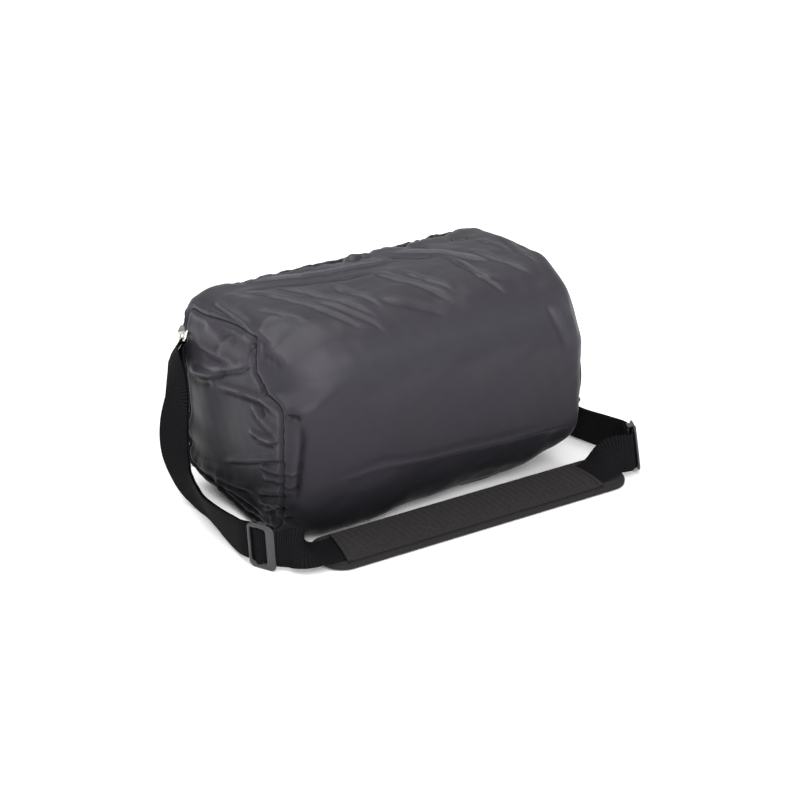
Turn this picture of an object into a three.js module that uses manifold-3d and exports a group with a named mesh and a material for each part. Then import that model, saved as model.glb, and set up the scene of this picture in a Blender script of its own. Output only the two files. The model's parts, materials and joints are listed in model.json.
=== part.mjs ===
// Roll-shaped motorcycle tail bag standing on its underside, with its rain cover pulled on from the
// front and its shoulder strap lying round it. Millimetres, +Z up, +X along the length, +Y to the back,
// where the cover is open. The origin is on the floor at the middle of the bag's underside.
import * as THREE from "three";
import { mergeVertices } from "three/addons/utils/BufferGeometryUtils.js";
import Module from "manifold-3d";

const wasm = await Module();
wasm.setup();

// ---------- driving dimensions ----------
const GAP = 0.4;

// the cover's outside: depth and height limits, corner radii of the section and half length
const COVER = {
  yFront: -94, yBack: 120, zLow: 0, zHigh: 228,
  rFrontLow: 54, rBackLow: 40, rBackHigh: 30, rFrontHigh: 80, half: 178,
};
const COVER_THICK = 1.6;
// the cover's mouth: its lip on the back, its corner radius and how deep the opening is cut
const COVER_LIP = 9;
const MOUTH = { corner: 26, depth: 60, beyond: 20 };
const ELASTIC = { inset: 3.4, corner: 24, stations: 64, inside: 1.2, radius: 1.8, sides: 6 };

// the bag inside it, with room for the zip under the cover's top
const BAG = {
  yFront: -90, yBack: 118, zLow: 2, zHigh: 219,
  rFrontLow: 50, rBackLow: 38, rBackHigh: 28, rFrontHigh: 74, half: 174,
};
const BAG_WALL = 4;
const END_ROUND = 16;
const END_DOME = 9;
// how far out and how small the two rings on each domed end are
const DOME_RINGS = [{ out: 0.7, shrink: 0.55 }, { out: 1, shrink: 0.1 }];
const SIDES_PER_CORNER = 5;

// the lid in the bag's top and the zip round it
const LID = { halfX: 150, yFront: -45, yBack: 86, corner: 22, zLow: 188, zHigh: 230 };
const ZIP_WIDTH = 5;
const ZIP_THICK = 1.6;
const ZIP_SUNK = 0.2;
const ZIP_STOP = 8;
const ZIP_SLIDER = { x: 14, long: 11, wide: 8, high: 3.2, corner: 2.4, lift: 0.5, plate: 0.6, bridge: 4.4 };
const ZIP_PULL = { long: 24, wide: 5.5, thick: 1.3, corner: 2.2, lift: 1.2 };

// stiffening boards, carry handle and grip panel
const BOARD = 3;
const BASE_BOARD = { halfX: 146, yFront: -30, yBack: 70, corner: 14 };
const BACK_BOARD = { halfX: 140, zLow: 46, zHigh: 186 };
const HANDLE = { long: 190, wide: 25, thick: 1.6, lift: 1.6, foot: 26, behindMiddle: 16, sewn: 0.2 };
const GRIP = { halfX: 84, zLow: 52, zHigh: 176, thick: 2.6, corner: 12 };

// shoulder strap
// the webbing's section, how far its two layers stand apart, and the runs over which they part
const WEB = {
  wide: 40, thick: 1.4, layer: 1.3, barLayer: 2.6, atHook: 30, atBar: 12, away: 16, tail: 8, step: 7,
};
const GLIDE = {
  long: 50, wide: 28, corner: 5, barHigh: 3.4, bar: 4.4, side: 4, innerCorner: 1.5, lift: 4.1,
  centreThick: 2.4, centreHalfWide: 2, centreHalfLong: 22, cheekHalf: 5, cheekIn: 20.9, cheekOut: 24.4,
};
const PAD = { xLeft: -176, xRight: 203, yFront: -151, wide: 62, base: 5, tilt: 8, nose: 25, zFront: 0.4 };
const PAD_FACE = {
  xLeft: -150, xRight: 160, wide: 50, edge: 2.2, high: 5.4, slotWide: 42, slotHigh: 2.6, slant: 9,
  fullness: 0.6,
};
const WEB_OVER_PAD = 0.5;

// ring, swivel hook and tab, given for the left end and mirrored for the right one
const EYE = new THREE.Vector3(-192, 118, 156);
const RING_HANG = new THREE.Vector3(-161, 138, 183);
const RING_BAR = new THREE.Vector3(-148, 125, 194);
const EYE_BAR_LEAN = new THREE.Vector3(-0.25, -0.78, 0.5);
const RING = { wire: 2, halfWide: 12, trim: 1.5 };
const TAB = { wide: 19, thick: 1.6, long: 17, slack: 0.5, spread: 1.4 };
const HOOK_EYE = { wire: 2, halfWide: 22.5, high: 12, corner: 3, boss: 4.4, bore: 2.2, below: 0.6, above: 0.8 };
const HOOK = {
  post: 1.9, head: 3.4, headHigh: 2, wire: 2.4, throat: 7, low: 18, top: 27, outside: 3.6, inside: 2.6,
  halfThick: 3.8, corner: 3, mouth: 3.6, rooted: 3,
};
const BOLT = { radius: 1.7, clearance: 0.3, rooted: 3, collar: 1.5, collarLow: 3.4, collarHigh: 1 };

// buckle sockets on the back for the carrier straps
const SOCKET = { wide: 32, thick: 9, long: 38, corner: 4, wall: 1.7, bar: 3, slot: 5.2, slotHalf: 13 };
const SOCKET_WINDOW = { low: 20, high: 8 };
const SOCKET_RELIEF = { half: 14, beyond: 5, under: 0.1 };
const SOCKET_TAB = { long: 24, wide: 24, spread: 1.2, slack: 1.2 };
const SOCKET_X = 112;
const SOCKET_Z = [170, 88];
const SOCKET_Y = BAG.yBack + 7;

// ---------- colours ----------
const INK = { color: 0x4c4b50, roughness: 0.5, metalness: 0 };
const FABRIC = { color: 0x262529, roughness: 0.9, metalness: 0 };
const WEBBING = { color: 0x1f1e22, roughness: 0.85, metalness: 0 };
const PADDING = { color: 0x3a3635, roughness: 0.95, metalness: 0 };
const PLASTIC = { color: 0x232326, roughness: 0.45, metalness: 0 };
const RUBBER = { color: 0x1c1c1d, roughness: 0.8, metalness: 0 };
const NICKEL = { color: 0xb9b6b0, roughness: 0.25, metalness: 1 };

const bag = new THREE.Group();

// ---------- helpers ----------
const vec = (x, y, z) => new THREE.Vector3(x, y, z);
const rad = THREE.MathUtils.degToRad;

function add(name, geometry, look) {
  const mesh = new THREE.Mesh(geometry, new THREE.MeshStandardMaterial(look));
  mesh.name = name;
  bag.add(mesh);
  return mesh;
}

function signedVolume(positions, index) {
  let sum = 0;
  const [a, b, c] = [vec(), vec(), vec()];
  for (let i = 0; i < index.length; i += 3) {
    a.fromArray(positions, index[i] * 3);
    b.fromArray(positions, index[i + 1] * 3);
    c.fromArray(positions, index[i + 2] * 3);
    sum += a.dot(b.cross(c));
  }
  return sum;
}

// a closed body through rings of points; open ends are closed by a fan, a loop joins its ends. Each
// four-sided face is split along its shorter diagonal, so the two sides of a twisted band stay apart
function loft(rings, loop = false) {
  const count = rings[0].length;
  const positions = rings.flat().flatMap((p) => p.toArray());
  const index = [];
  const last = loop ? rings.length : rings.length - 1;
  for (let i = 0; i < last; i += 1) {
    const low = i * count;
    const high = ((i + 1) % rings.length) * count;
    for (let k = 0; k < count; k += 1) {
      const next = (k + 1) % count;
      const [near, far] = [rings[i], rings[(i + 1) % rings.length]];
      if (near[k].distanceTo(far[next]) <= near[next].distanceTo(far[k])) {
        index.push(low + k, low + next, high + next, low + k, high + next, high + k);
      } else {
        index.push(low + k, low + next, high + k, low + next, high + next, high + k);
      }
    }
  }
  if (!loop) {
    [0, rings.length - 1].forEach((end) => {
      const middle = rings[end].reduce((sum, p) => sum.add(p), vec(0, 0, 0)).divideScalar(count);
      const tip = positions.length / 3;
      positions.push(...middle.toArray());
      for (let k = 0; k < count; k += 1) {
        const pair = [end * count + k, end * count + ((k + 1) % count)];
        index.push(tip, ...(end === 0 ? pair.reverse() : pair));
      }
    });
  }
  if (signedVolume(positions, index) < 0) {
    index.reverse();
  }
  const geometry = new THREE.BufferGeometry();
  geometry.setAttribute("position", new THREE.Float32BufferAttribute(positions, 3));
  geometry.setIndex(index);
  return geometry;
}

function solid(geometry) {
  const bare = geometry.clone();
  bare.deleteAttribute("normal");
  bare.deleteAttribute("uv");
  const merged = mergeVertices(bare, 1e-4);
  return new wasm.Manifold(new wasm.Mesh({
    numProp: 3,
    vertProperties: new Float32Array(merged.attributes.position.array),
    triVerts: new Uint32Array(merged.index.array),
  }));
}

function geometryOf(manifold) {
  const mesh = manifold.getMesh();
  const geometry = new THREE.BufferGeometry();
  geometry.setAttribute("position", new THREE.BufferAttribute(new Float32Array(mesh.vertProperties), 3));
  geometry.setIndex(new THREE.BufferAttribute(new Uint32Array(mesh.triVerts), 1));
  return geometry;
}

const join = (first, ...rest) => rest.reduce((sum, other) => sum.add(solid(other)), solid(first));

function box(x0, x1, y0, y1, z0, z1) {
  const geometry = new THREE.BoxGeometry(x1 - x0, y1 - y0, z1 - z0);
  return geometry.translate((x0 + x1) / 2, (y0 + y1) / 2, (z0 + z1) / 2);
}

// a round bar along local +Y from one height to another
function bar(radius, from, to, sides = 12) {
  return new THREE.CylinderGeometry(radius, radius, to - from, sides).translate(0, (from + to) / 2, 0);
}

function roundedShape(x0, x1, y0, y1, radius) {
  const shape = new THREE.Shape();
  shape.moveTo(x0 + radius, y0);
  shape.lineTo(x1 - radius, y0);
  shape.absarc(x1 - radius, y0 + radius, radius, -Math.PI / 2, 0);
  shape.lineTo(x1, y1 - radius);
  shape.absarc(x1 - radius, y1 - radius, radius, 0, Math.PI / 2);
  shape.lineTo(x0 + radius, y1);
  shape.absarc(x0 + radius, y1 - radius, radius, Math.PI / 2, Math.PI);
  shape.lineTo(x0, y0 + radius);
  shape.absarc(x0 + radius, y0 + radius, radius, Math.PI, 1.5 * Math.PI);
  return shape;
}

function plate(shape, from, to, curveSegments = 5) {
  const geometry = new THREE.ExtrudeGeometry(shape, { depth: to - from, bevelEnabled: false, curveSegments });
  return geometry.translate(0, 0, from);
}

// turns a geometry's x, y and z axes to the given directions and its origin to a point
function place(geometry, origin, xDir, yDir, zDir) {
  const matrix = new THREE.Matrix4().makeBasis(xDir, yDir, zDir).setPosition(origin);
  return geometry.clone().applyMatrix4(matrix);
}

function mirrored(geometry) {
  const copy = geometry.clone().applyMatrix4(new THREE.Matrix4().makeScale(-1, 1, 1));
  const index = copy.index ? [...copy.index.array] : [...Array(copy.attributes.position.count).keys()];
  copy.setIndex(index.reverse());
  return copy;
}

// puts a piece modelled for the left end on both ends
function onBothEnds(name, geometry, look) {
  add(`${name}_left`, geometry, look);
  add(`${name}_right`, mirrored(geometry), look);
}

// a tube of constant radius along points, closed on itself when loop is set
function tube(points, radius, sides, loop) {
  const count = points.length;
  let side = null;
  const rings = points.map((p, i) => {
    const before = points[loop ? (i + count - 1) % count : Math.max(i - 1, 0)];
    const after = points[loop ? (i + 1) % count : Math.min(i + 1, count - 1)];
    const along = after.clone().sub(before).normalize();
    side = side ?? (Math.abs(along.z) < 0.9 ? vec(0, 0, 1) : vec(1, 0, 0));
    side = side.clone().addScaledVector(along, -side.dot(along)).normalize();
    const up = along.clone().cross(side);
    return Array.from({ length: sides }, (_, k) => {
      const angle = (k / sides) * 2 * Math.PI;
      return p.clone().addScaledVector(side, radius * Math.cos(angle))
        .addScaledVector(up, radius * Math.sin(angle));
    });
  });
  return loft(rings, loop);
}

// ---------- the bag's shape ----------
// the section's outline at a station, as a rounded rectangle in Y and Z with four radii
function sectionRing(size, x, inset, shrink = 1) {
  const corners = [
    [size.yFront, size.zLow, size.rFrontLow, 180, 1, 1],
    [size.yBack, size.zLow, size.rBackLow, 270, -1, 1],
    [size.yBack, size.zHigh, size.rBackHigh, 0, -1, -1],
    [size.yFront, size.zHigh, size.rFrontHigh, 90, 1, -1],
  ];
  const middle = vec(x, (size.yFront + size.yBack) / 2, (size.zLow + size.zHigh) / 2);
  return corners.flatMap(([y, z, radius, start, dy, dz]) => Array.from(
    { length: SIDES_PER_CORNER + 1 },
    (_, k) => {
      const angle = rad(start + (90 * k) / SIDES_PER_CORNER);
      const point = vec(
        x,
        y + dy * radius + (radius - inset) * Math.cos(angle),
        z + dz * radius + (radius - inset) * Math.sin(angle),
      );
      return point.lerp(middle, 1 - shrink);
    },
  ));
}

// the closed roll with rounded end edges and slightly domed ends, drawn in by an inset
function roll(size, inset = 0) {
  const half = size.half - inset;
  const rings = [];
  [0, 30, 60, 90].forEach((angle) => {
    const x = half - END_ROUND * (1 - Math.sin(rad(angle)));
    rings.push(sectionRing(size, x, inset + END_ROUND * (1 - Math.cos(rad(angle)))));
  });
  DOME_RINGS.forEach(({ out, shrink }) => {
    rings.push(sectionRing(size, half + END_DOME * out, inset + END_ROUND, shrink));
  });
  const left = rings.map((ring) => ring.map((p) => vec(-p.x, p.y, p.z))).reverse();
  return loft([...left, ...rings]);
}

// how far back the roll's surface stands at a place on its back side
function backSurface(size, x, z) {
  const over = Math.max(Math.abs(x) - (size.half - END_ROUND), 0);
  const inset = END_ROUND - Math.sqrt(END_ROUND ** 2 - over ** 2);
  const high = z > (size.zLow + size.zHigh) / 2;
  const radius = high ? size.rBackHigh : size.rBackLow;
  const centre = high ? size.zHigh - radius : size.zLow + radius;
  const rise = Math.max(high ? z - centre : centre - z, 0);
  return size.yBack - radius + Math.sqrt((radius - inset) ** 2 - rise ** 2);
}

function makeRainCover() {
  const shell = solid(roll(COVER)).subtract(solid(roll(COVER, COVER_THICK)));
  const mouth = roundedShape(
    -COVER.half + COVER_LIP, COVER.half - COVER_LIP, COVER.zLow + COVER_LIP, COVER.zHigh - COVER_LIP,
    MOUTH.corner,
  );
  const cutter = plate(mouth, 0, MOUTH.depth).applyMatrix4(new THREE.Matrix4().makeBasis(
    vec(1, 0, 0), vec(0, 0, 1), vec(0, -1, 0),
  ).setPosition(0, COVER.yBack + MOUTH.beyond, 0));
  add("rain_cover", geometryOf(shell.subtract(solid(cutter))), INK);
}

// the elastic cord in the cover's hem, just inside the edge of its mouth
function makeHemElastic() {
  const inside = COVER_LIP + ELASTIC.inset;
  const outline = roundedShape(
    -COVER.half + inside, COVER.half - inside, COVER.zLow + inside, COVER.zHigh - inside, ELASTIC.corner,
  );
  const points = outline.getSpacedPoints(ELASTIC.stations).slice(0, -1).map((p) => (
    vec(p.x, backSurface(COVER, p.x, p.y) + ELASTIC.inside, p.y)
  ));
  add("rain_cover_elastic", tube(points, ELASTIC.radius, ELASTIC.sides, true), RUBBER);
}

// the upright prism that cuts the lid out of the bag's top, drawn in by a margin on three sides
const lidPrism = (margin) => plate(roundedShape(
  -LID.halfX + margin, LID.halfX - margin, LID.yFront + margin, LID.yBack - Math.min(margin, GAP),
  LID.corner - margin,
), LID.zLow, LID.zHigh);

function makeBagBodyAndLid() {
  const wall = solid(roll(BAG)).subtract(solid(roll(BAG, BAG_WALL)));
  add("bag_body", geometryOf(wall.subtract(solid(lidPrism(0)))), FABRIC);
  add("bag_lid", geometryOf(wall.intersect(solid(lidPrism(ZIP_WIDTH)))), FABRIC);

  // the closed zip fills the gap on the lid's front and two ends
  const skin = solid(roll(BAG, ZIP_SUNK)).subtract(solid(roll(BAG, ZIP_SUNK + ZIP_THICK)));
  const gap = solid(lidPrism(GAP)).subtract(solid(lidPrism(ZIP_WIDTH - GAP)));
  const track = box(-BAG.half, BAG.half, BAG.yFront, LID.yBack - ZIP_STOP, LID.zLow, LID.zHigh);
  add("zip_track", geometryOf(skin.intersect(gap).intersect(solid(track))), PLASTIC);
}

// the place and slope of the zip's front run
function zipFront() {
  const y = LID.yFront + ZIP_WIDTH / 2;
  const offset = BAG.yFront + BAG.rFrontHigh - y;
  const angle = Math.asin(offset / BAG.rFrontHigh);
  const z = BAG.zHigh - BAG.rFrontHigh + BAG.rFrontHigh * Math.cos(angle);
  return { y, z, angle };
}

function makeZipSliders() {
  const front = zipFront();
  const across = vec(0, Math.cos(front.angle), Math.sin(front.angle));
  const out = vec(0, -Math.sin(front.angle), Math.cos(front.angle));
  [["left", -1], ["right", 1]].forEach(([end, sign]) => {
    const { x, long, wide, high, corner, lift, bridge } = ZIP_SLIDER;
    const origin = vec(sign * x, front.y, front.z);
    const shape = roundedShape(-long / 2, long / 2, -wide / 2, wide / 2, corner);
    const body = join(
      plate(shape, lift, high * ZIP_SLIDER.plate, 3),
      box(-bridge / 2, bridge / 2, -wide / 2 + 1, wide / 2 - 2, 1, high),
    );
    add(`zip_slider_${end}`, place(geometryOf(body), origin, vec(1, 0, 0), across, out), NICKEL);
    const near = long / 2 + GAP;
    const [x0, x1] = sign > 0 ? [near, near + ZIP_PULL.long] : [-near - ZIP_PULL.long, -near];
    const tag = roundedShape(x0, x1, -ZIP_PULL.wide / 2, ZIP_PULL.wide / 2, ZIP_PULL.corner);
    const pull = plate(tag, ZIP_PULL.lift, ZIP_PULL.lift + ZIP_PULL.thick, 3);
    add(`zip_pull_${end}`, place(pull, origin, vec(1, 0, 0), across, out), NICKEL);
  });
}

function makeBoards() {
  const floor = BAG.zLow + BAG_WALL + GAP;
  const { halfX, yFront, yBack, corner } = BASE_BOARD;
  const shape = roundedShape(-halfX, halfX, yFront, yBack, corner);
  add("base_board", plate(shape, floor, floor + BOARD, 4), PLASTIC);
  const back = BAG.yBack - BAG_WALL - GAP;
  add("back_board", box(
    -BACK_BOARD.halfX, BACK_BOARD.halfX, back - BOARD, back, BACK_BOARD.zLow, BACK_BOARD.zHigh,
  ), PLASTIC);
}

// the webbing carry handle, lying flat along the lid
function makeCarryHandle() {
  const low = BAG.zHigh + GAP;
  const middle = (LID.yFront + LID.yBack) / 2 + HANDLE.behindMiddle;
  const { long, wide, thick, lift, foot, sewn } = HANDLE;
  const [y0, y1] = [middle - wide / 2, middle + wide / 2];
  const span = box(-long / 2, long / 2, y0, y1, low + lift, low + lift + thick);
  const feet = [-1, 1].map((sign) => box(
    Math.min(sign * (long / 2 - foot), sign * long / 2), Math.max(sign * (long / 2 - foot), sign * long / 2),
    y0, y1, low, low + lift + sewn,
  ));
  add("carry_handle", geometryOf(join(span, ...feet)), WEBBING);
}

function makeGripPanel() {
  const shape = roundedShape(-GRIP.halfX, GRIP.halfX, GRIP.zLow, GRIP.zHigh, GRIP.corner);
  const turned = new THREE.Matrix4().makeBasis(vec(1, 0, 0), vec(0, 0, 1), vec(0, -1, 0));
  turned.setPosition(0, BAG.yBack + GAP + GRIP.thick, 0);
  add("grip_panel", plate(shape, 0, GRIP.thick).applyMatrix4(turned), RUBBER);
}

// ---------- webbing ----------
// a flat band through points, each with its own width direction
function band(stations, wide, thick) {
  const rings = stations.map(({ at, across, out }) => [[-1, -1], [1, -1], [1, 1], [-1, 1]].map(([u, v]) => (
    at.clone().addScaledVector(across, (u * wide) / 2).addScaledVector(out, (v * thick) / 2)
  )));
  return loft(rings);
}

// a webbing loop round a bar: along one side, half round the bar and back on the other side
function foldRound(barAt, inward, out, width, long, thick, wide, radius, spread) {
  const stations = [];
  const leg = (side) => [1, 0.55, 0.2].map((t) => ({
    at: barAt.clone().addScaledVector(inward, t * long)
      .addScaledVector(out, side * (radius + (spread - radius) * t)),
    out: out.clone(),
  }));
  stations.push(...leg(-1));
  [-90, -54, -18, 18, 54, 90].forEach((angle) => {
    const turn = rad(angle);
    const away = inward.clone().multiplyScalar(-Math.cos(turn)).addScaledVector(out, Math.sin(turn));
    stations.push({ at: barAt.clone().addScaledVector(away, radius), out: away });
  });
  stations.push(...leg(1).reverse());
  const turned = stations.map((s, i) => ({
    at: s.at, across: width, out: i < 3 ? s.out.multiplyScalar(-1) : s.out,
  }));
  return band(turned, wide, thick);
}

// ---------- ring, tab and swivel hook, made for the left end ----------
const hookUp = RING_HANG.clone().sub(EYE).normalize();
const eyeBar = EYE_BAR_LEAN.clone().addScaledVector(hookUp, -EYE_BAR_LEAN.dot(hookUp)).normalize();
const ringIn = RING_BAR.clone().sub(RING_HANG).normalize();
const ringAcross = ringIn.clone().cross(vec(0, 1, 0)).normalize();
const hookSide = hookUp.clone().cross(ringAcross).normalize();
const hookAcross = hookSide.clone().cross(hookUp).normalize();
const hookHang = RING_HANG.distanceTo(EYE);

function makeRingsAndTabs() {
  const rise = RING_BAR.distanceTo(RING_HANG);
  const arc = Array.from({ length: 11 }, (_, k) => {
    const angle = rad(180 + 18 * k);
    return [RING.halfWide * Math.cos(angle), RING.halfWide * (1 + Math.sin(angle))];
  });
  const { halfWide, trim } = RING;
  const outline = [
    [-halfWide, rise - trim], ...arc, [halfWide, rise - trim], [halfWide - trim, rise], [0, rise],
    [-halfWide + trim, rise],
  ];
  const points = outline.map(([u, v]) => (
    RING_HANG.clone().addScaledVector(ringAcross, u).addScaledVector(ringIn, v)
  ));
  onBothEnds("d_ring", tube(points, RING.wire, 8, true), NICKEL);

  const inward = vec(-ringAcross.z, 0, ringAcross.x).multiplyScalar(-1);
  const out = vec(0, 1, 0);
  const radius = RING.wire + TAB.slack + TAB.thick / 2;
  onBothEnds("ring_tab", foldRound(
    RING_BAR, inward.x > 0 ? inward : inward.negate(), out, ringAcross, TAB.long, TAB.thick, TAB.wide, radius,
    TAB.spread,
  ), WEBBING);
}

function makeHooks() {
  const { wire, halfWide, high, corner: round, boss, bore, below, above } = HOOK_EYE;
  const corner = (u, v, start) => [0, 45, 90].map((step) => [
    u + round * Math.cos(rad(start + step)), v + round * Math.sin(rad(start + step)),
  ]);
  const loop = [
    ...corner(halfWide - round, high - round, 0), ...corner(-halfWide + round, high - round, 90),
    ...corner(-halfWide + round, round, 180), ...corner(halfWide - round, round, 270),
  ].map(([u, v]) => vec(u, v, 0));
  const eye = join(tube(loop, wire, 8, true), bar(boss, high - wire - below, high + wire + above))
    .subtract(solid(bar(bore, 0, HOOK.low)));
  onBothEnds("hook_eye", place(geometryOf(eye), EYE, eyeBar, hookUp, eyeBar.clone().cross(hookUp)), NICKEL);

  // the hook's own frame: x across its side, y up along it, z through its flat
  const centre = hookHang + RING.wire + 0.4 + HOOK.wire - HOOK.throat;
  const bend = Array.from({ length: 11 }, (_, k) => {
    const angle = rad(18 * k);
    return vec(HOOK.throat * Math.cos(angle), centre + HOOK.throat * Math.sin(angle), 0);
  });
  const spine = [
    vec(HOOK.throat, HOOK.top - HOOK.rooted, 0), ...bend, vec(-HOOK.throat, centre - HOOK.mouth, 0),
  ];
  const housing = roundedShape(
    -HOOK.throat - HOOK.outside, HOOK.throat + HOOK.inside, -HOOK.halfThick, HOOK.halfThick, HOOK.corner,
  );
  const turned = new THREE.Matrix4().makeRotationX(-Math.PI / 2);
  const head = high - wire - below - GAP;
  const body = join(
    tube(spine, HOOK.wire, 8, false),
    plate(housing, HOOK.low, HOOK.top, 3).applyMatrix4(turned),
    bar(HOOK.post, head - 1, HOOK.low + 1),
    bar(HOOK.head, head - HOOK.headHigh, head),
  ).subtract(solid(bar(BOLT.radius + BOLT.clearance, 0, HOOK.top + 2).translate(-HOOK.throat, 0, 0)));
  const turn = (g) => place(g, EYE, hookSide, hookUp, hookAcross);
  onBothEnds("hook_body", turn(geometryOf(body)), NICKEL);

  const tip = centre - HOOK.mouth - GAP;
  const bolt = join(
    bar(BOLT.radius, HOOK.low + BOLT.rooted, tip, 10),
    bar(BOLT.radius + BOLT.collar, tip - BOLT.collarLow, tip - BOLT.collarHigh, 10),
  );
  onBothEnds("hook_bolt", turn(geometryOf(bolt).translate(-HOOK.throat, 0, 0)), NICKEL);
}

// ---------- shoulder strap ----------
const padUp = vec(0, -Math.sin(rad(PAD.tilt)), Math.cos(rad(PAD.tilt)));
const padBack = vec(0, Math.cos(rad(PAD.tilt)), Math.sin(rad(PAD.tilt)));
const padEdge = vec(0, PAD.yFront, PAD.zFront);
const padPoint = (x, back, up) => (
  padEdge.clone().setX(x).addScaledVector(padBack, back).addScaledVector(padUp, up)
);
const padWeb = (x, rise = 0) => (
  padPoint(x, PAD.wide / 2, PAD.base + GAP + WEB.thick / 2 + WEB_OVER_PAD).add(vec(0, 0, rise))
);

// where the two adjusters stand, and the way the webbing runs through them from hook to pad
const GLIDES = {
  left: {
    at: vec(-222, -97, 25.8),
    along: vec(0.4, -0.917, 0).normalize(),
    across: vec(-0.1, 0, 1).normalize(),
  },
  right: {
    at: vec(232, -114, 25.4),
    along: vec(-0.5, -0.866, 0).normalize(),
    across: vec(0.02, 0.16, 1).normalize(),
  },
};

// the webbing's middle line from each hook to the pad, with the direction of its front or upper edge
function strapGuide(end) {
  const glide = GLIDES[end];
  const at = (t) => [glide.at.clone().addScaledVector(glide.along, t), glide.across];
  const mirror = end === "left" ? 1 : -1;
  const flip = (v) => vec(mirror * v.x, v.y, v.z);
  const top = [
    [EYE.clone(), eyeBar.clone()],
    [EYE.clone().addScaledVector(hookUp, -9), eyeBar.clone()],
    [vec(-204, 105, 137), vec(-0.15, -0.93, 0.33)],
    [vec(-212, 90, 113), vec(0.07, -1, 0.02)],
    [vec(-216, 91, 78), vec(0.28, -0.95, 0.03)],
    [vec(-217, 88.5, 52), vec(0.24, -0.93, 0.26)],
  ].map(([p, w]) => [flip(p), flip(w)]);
  const low = end === "left"
    ? [
      [vec(-215, 77, 31), vec(0.05, -0.72, 0.7)],
      [vec(-215, 56, 22), vec(-0.18, -0.3, 0.94)],
      [vec(-218, 32, 20.4), vec(-0.33, -0.08, 0.94)],
      [vec(-223, 8, 20.4), vec(-0.38, -0.06, 0.92)],
      [vec(-228, -27, 21.4), vec(-0.26, 0, 0.95)],
      [vec(-231, -54, 23.4), vec(-0.15, 0, 1)],
    ]
    : [
      [vec(219, 76, 32), vec(0.05, -0.72, 0.7)],
      [vec(222, 54, 23.4), vec(0.1, -0.3, 0.94)],
      [vec(224, 30, 21.4), vec(0.06, -0.08, 0.99)],
      [vec(224, 0, 21.4), vec(-0.05, 0, 1)],
      [vec(223, -34, 22), vec(-0.12, 0, 1)],
      [vec(230, -64, 23), vec(0, 0, 1)],
    ];
  const entry = end === "left"
    ? [
      [vec(-201, -117, 24), vec(0.06, 0.3, 1)],
      [vec(-190, -121.6, 19.4), vec(0.06, 0.75, 0.7)],
      [padWeb(-177, 2.6), vec(0, 0.97, 0.24)],
      [padWeb(-166, 0.3), padBack.clone()],
    ]
    : [
      [vec(214, -129, 26.2), vec(0.02, 0.08, 1)],
      [vec(205, -128, 28), vec(0.01, 0.26, 0.97)],
      [vec(196, -125.6, 27), vec(0, 0.56, 0.83)],
      [vec(187, -123, 22.6), vec(0, 0.82, 0.57)],
      [padWeb(177, 3.4), vec(0, 0.96, 0.29)],
      [padWeb(167, 0.4), padBack.clone()],
    ];
  const sign = end === "left" ? 1 : -1;
  const inPad = [150, 110, 60].map((x) => [padWeb(-sign * x), padBack.clone()]);
  return [...top, ...low, at(-26), at(-18), at(-6), at(6), at(16), ...entry, ...inPad];
}

// even stations along a guide, each with its running distance from the hook
function strapStations(end, step) {
  const guide = strapGuide(end);
  const line = new THREE.CatmullRomCurve3(guide.map(([p]) => p), false, "centripetal");
  const widths = guide.map(([, w]) => w.clone().normalize());
  const edge = new THREE.CatmullRomCurve3(widths, false, "catmullrom", 0.5);
  const outSign = end === "left" ? 1 : -1;
  const parts = 1200;
  const dense = Array.from({ length: parts + 1 }, (_, i) => line.getPoint(i / parts));
  const run = [0];
  dense.slice(1).forEach((p, i) => run.push(run[i] + p.distanceTo(dense[i])));
  const total = run[parts];
  const count = Math.round(total / step);
  return Array.from({ length: count + 1 }, (_, i) => {
    const distance = (i / count) * total;
    const found = run.findIndex((d) => d >= distance - 1e-9);
    const t = found / parts;
    const along = line.getTangent(t).normalize();
    const across = edge.getPoint(t);
    across.addScaledVector(along, -across.dot(along)).normalize();
    const out = along.clone().cross(across).multiplyScalar(outSign);
    return { at: dense[found].clone(), across, out, distance, along };
  });
}

const smooth = (t) => THREE.MathUtils.smoothstep(t, 0, 1);

// the strap's whole webbing: from its sewn end at one adjuster up to the hook, round the hook's bar, back
// down through the adjuster, through the pad and the same on the other side
function strapHalf(end) {
  const glide = GLIDES[end];
  const stations = strapStations(end, WEB.step);
  const nearest = stations.reduce((best, s) => (
    s.at.distanceTo(glide.at) < best.at.distanceTo(glide.at) ? s : best
  ));
  const hookLayer = HOOK_EYE.wire + HOOK_EYE.below + WEB.thick / 2;
  const lift = (distance) => {
    const atHook = (hookLayer - WEB.layer) * (1 - smooth(distance / WEB.atHook));
    const away = Math.abs(distance - nearest.distance);
    const atBar = (WEB.barLayer - WEB.layer) * (1 - smooth((away - WEB.atBar) / WEB.away));
    return WEB.layer + atHook + atBar;
  };
  const shifted = (s, amount) => ({ ...s, at: s.at.clone().addScaledVector(s.out, amount) });
  const outer = stations.map((s) => {
    const beyond = s.distance - nearest.distance;
    const single = beyond > WEB.atBar ? 1 - smooth((beyond - WEB.atBar) / WEB.away) : 1;
    return shifted(s, lift(s.distance) * single);
  });
  const inner = stations.filter((s) => s.distance < nearest.distance + WEB.tail)
    .map((s) => shifted(s, -lift(s.distance)))
    .map((s) => ({ ...s, out: s.out.clone().negate() }));
  const first = stations[0];
  const turn = [-60, -20, 20, 60].map((angle) => {
    const away = first.along.clone().multiplyScalar(-Math.cos(rad(angle)))
      .addScaledVector(first.out, Math.sin(rad(angle)));
    return { at: first.at.clone().addScaledVector(away, hookLayer), across: first.across, out: away };
  });
  return [...inner.reverse(), ...turn, ...outer];
}

function makeStrap() {
  const left = strapHalf("left");
  const right = strapHalf("right").reverse();
  add("shoulder_webbing", band([...left, ...right], WEB.wide, WEB.thick), WEBBING);
}

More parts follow.
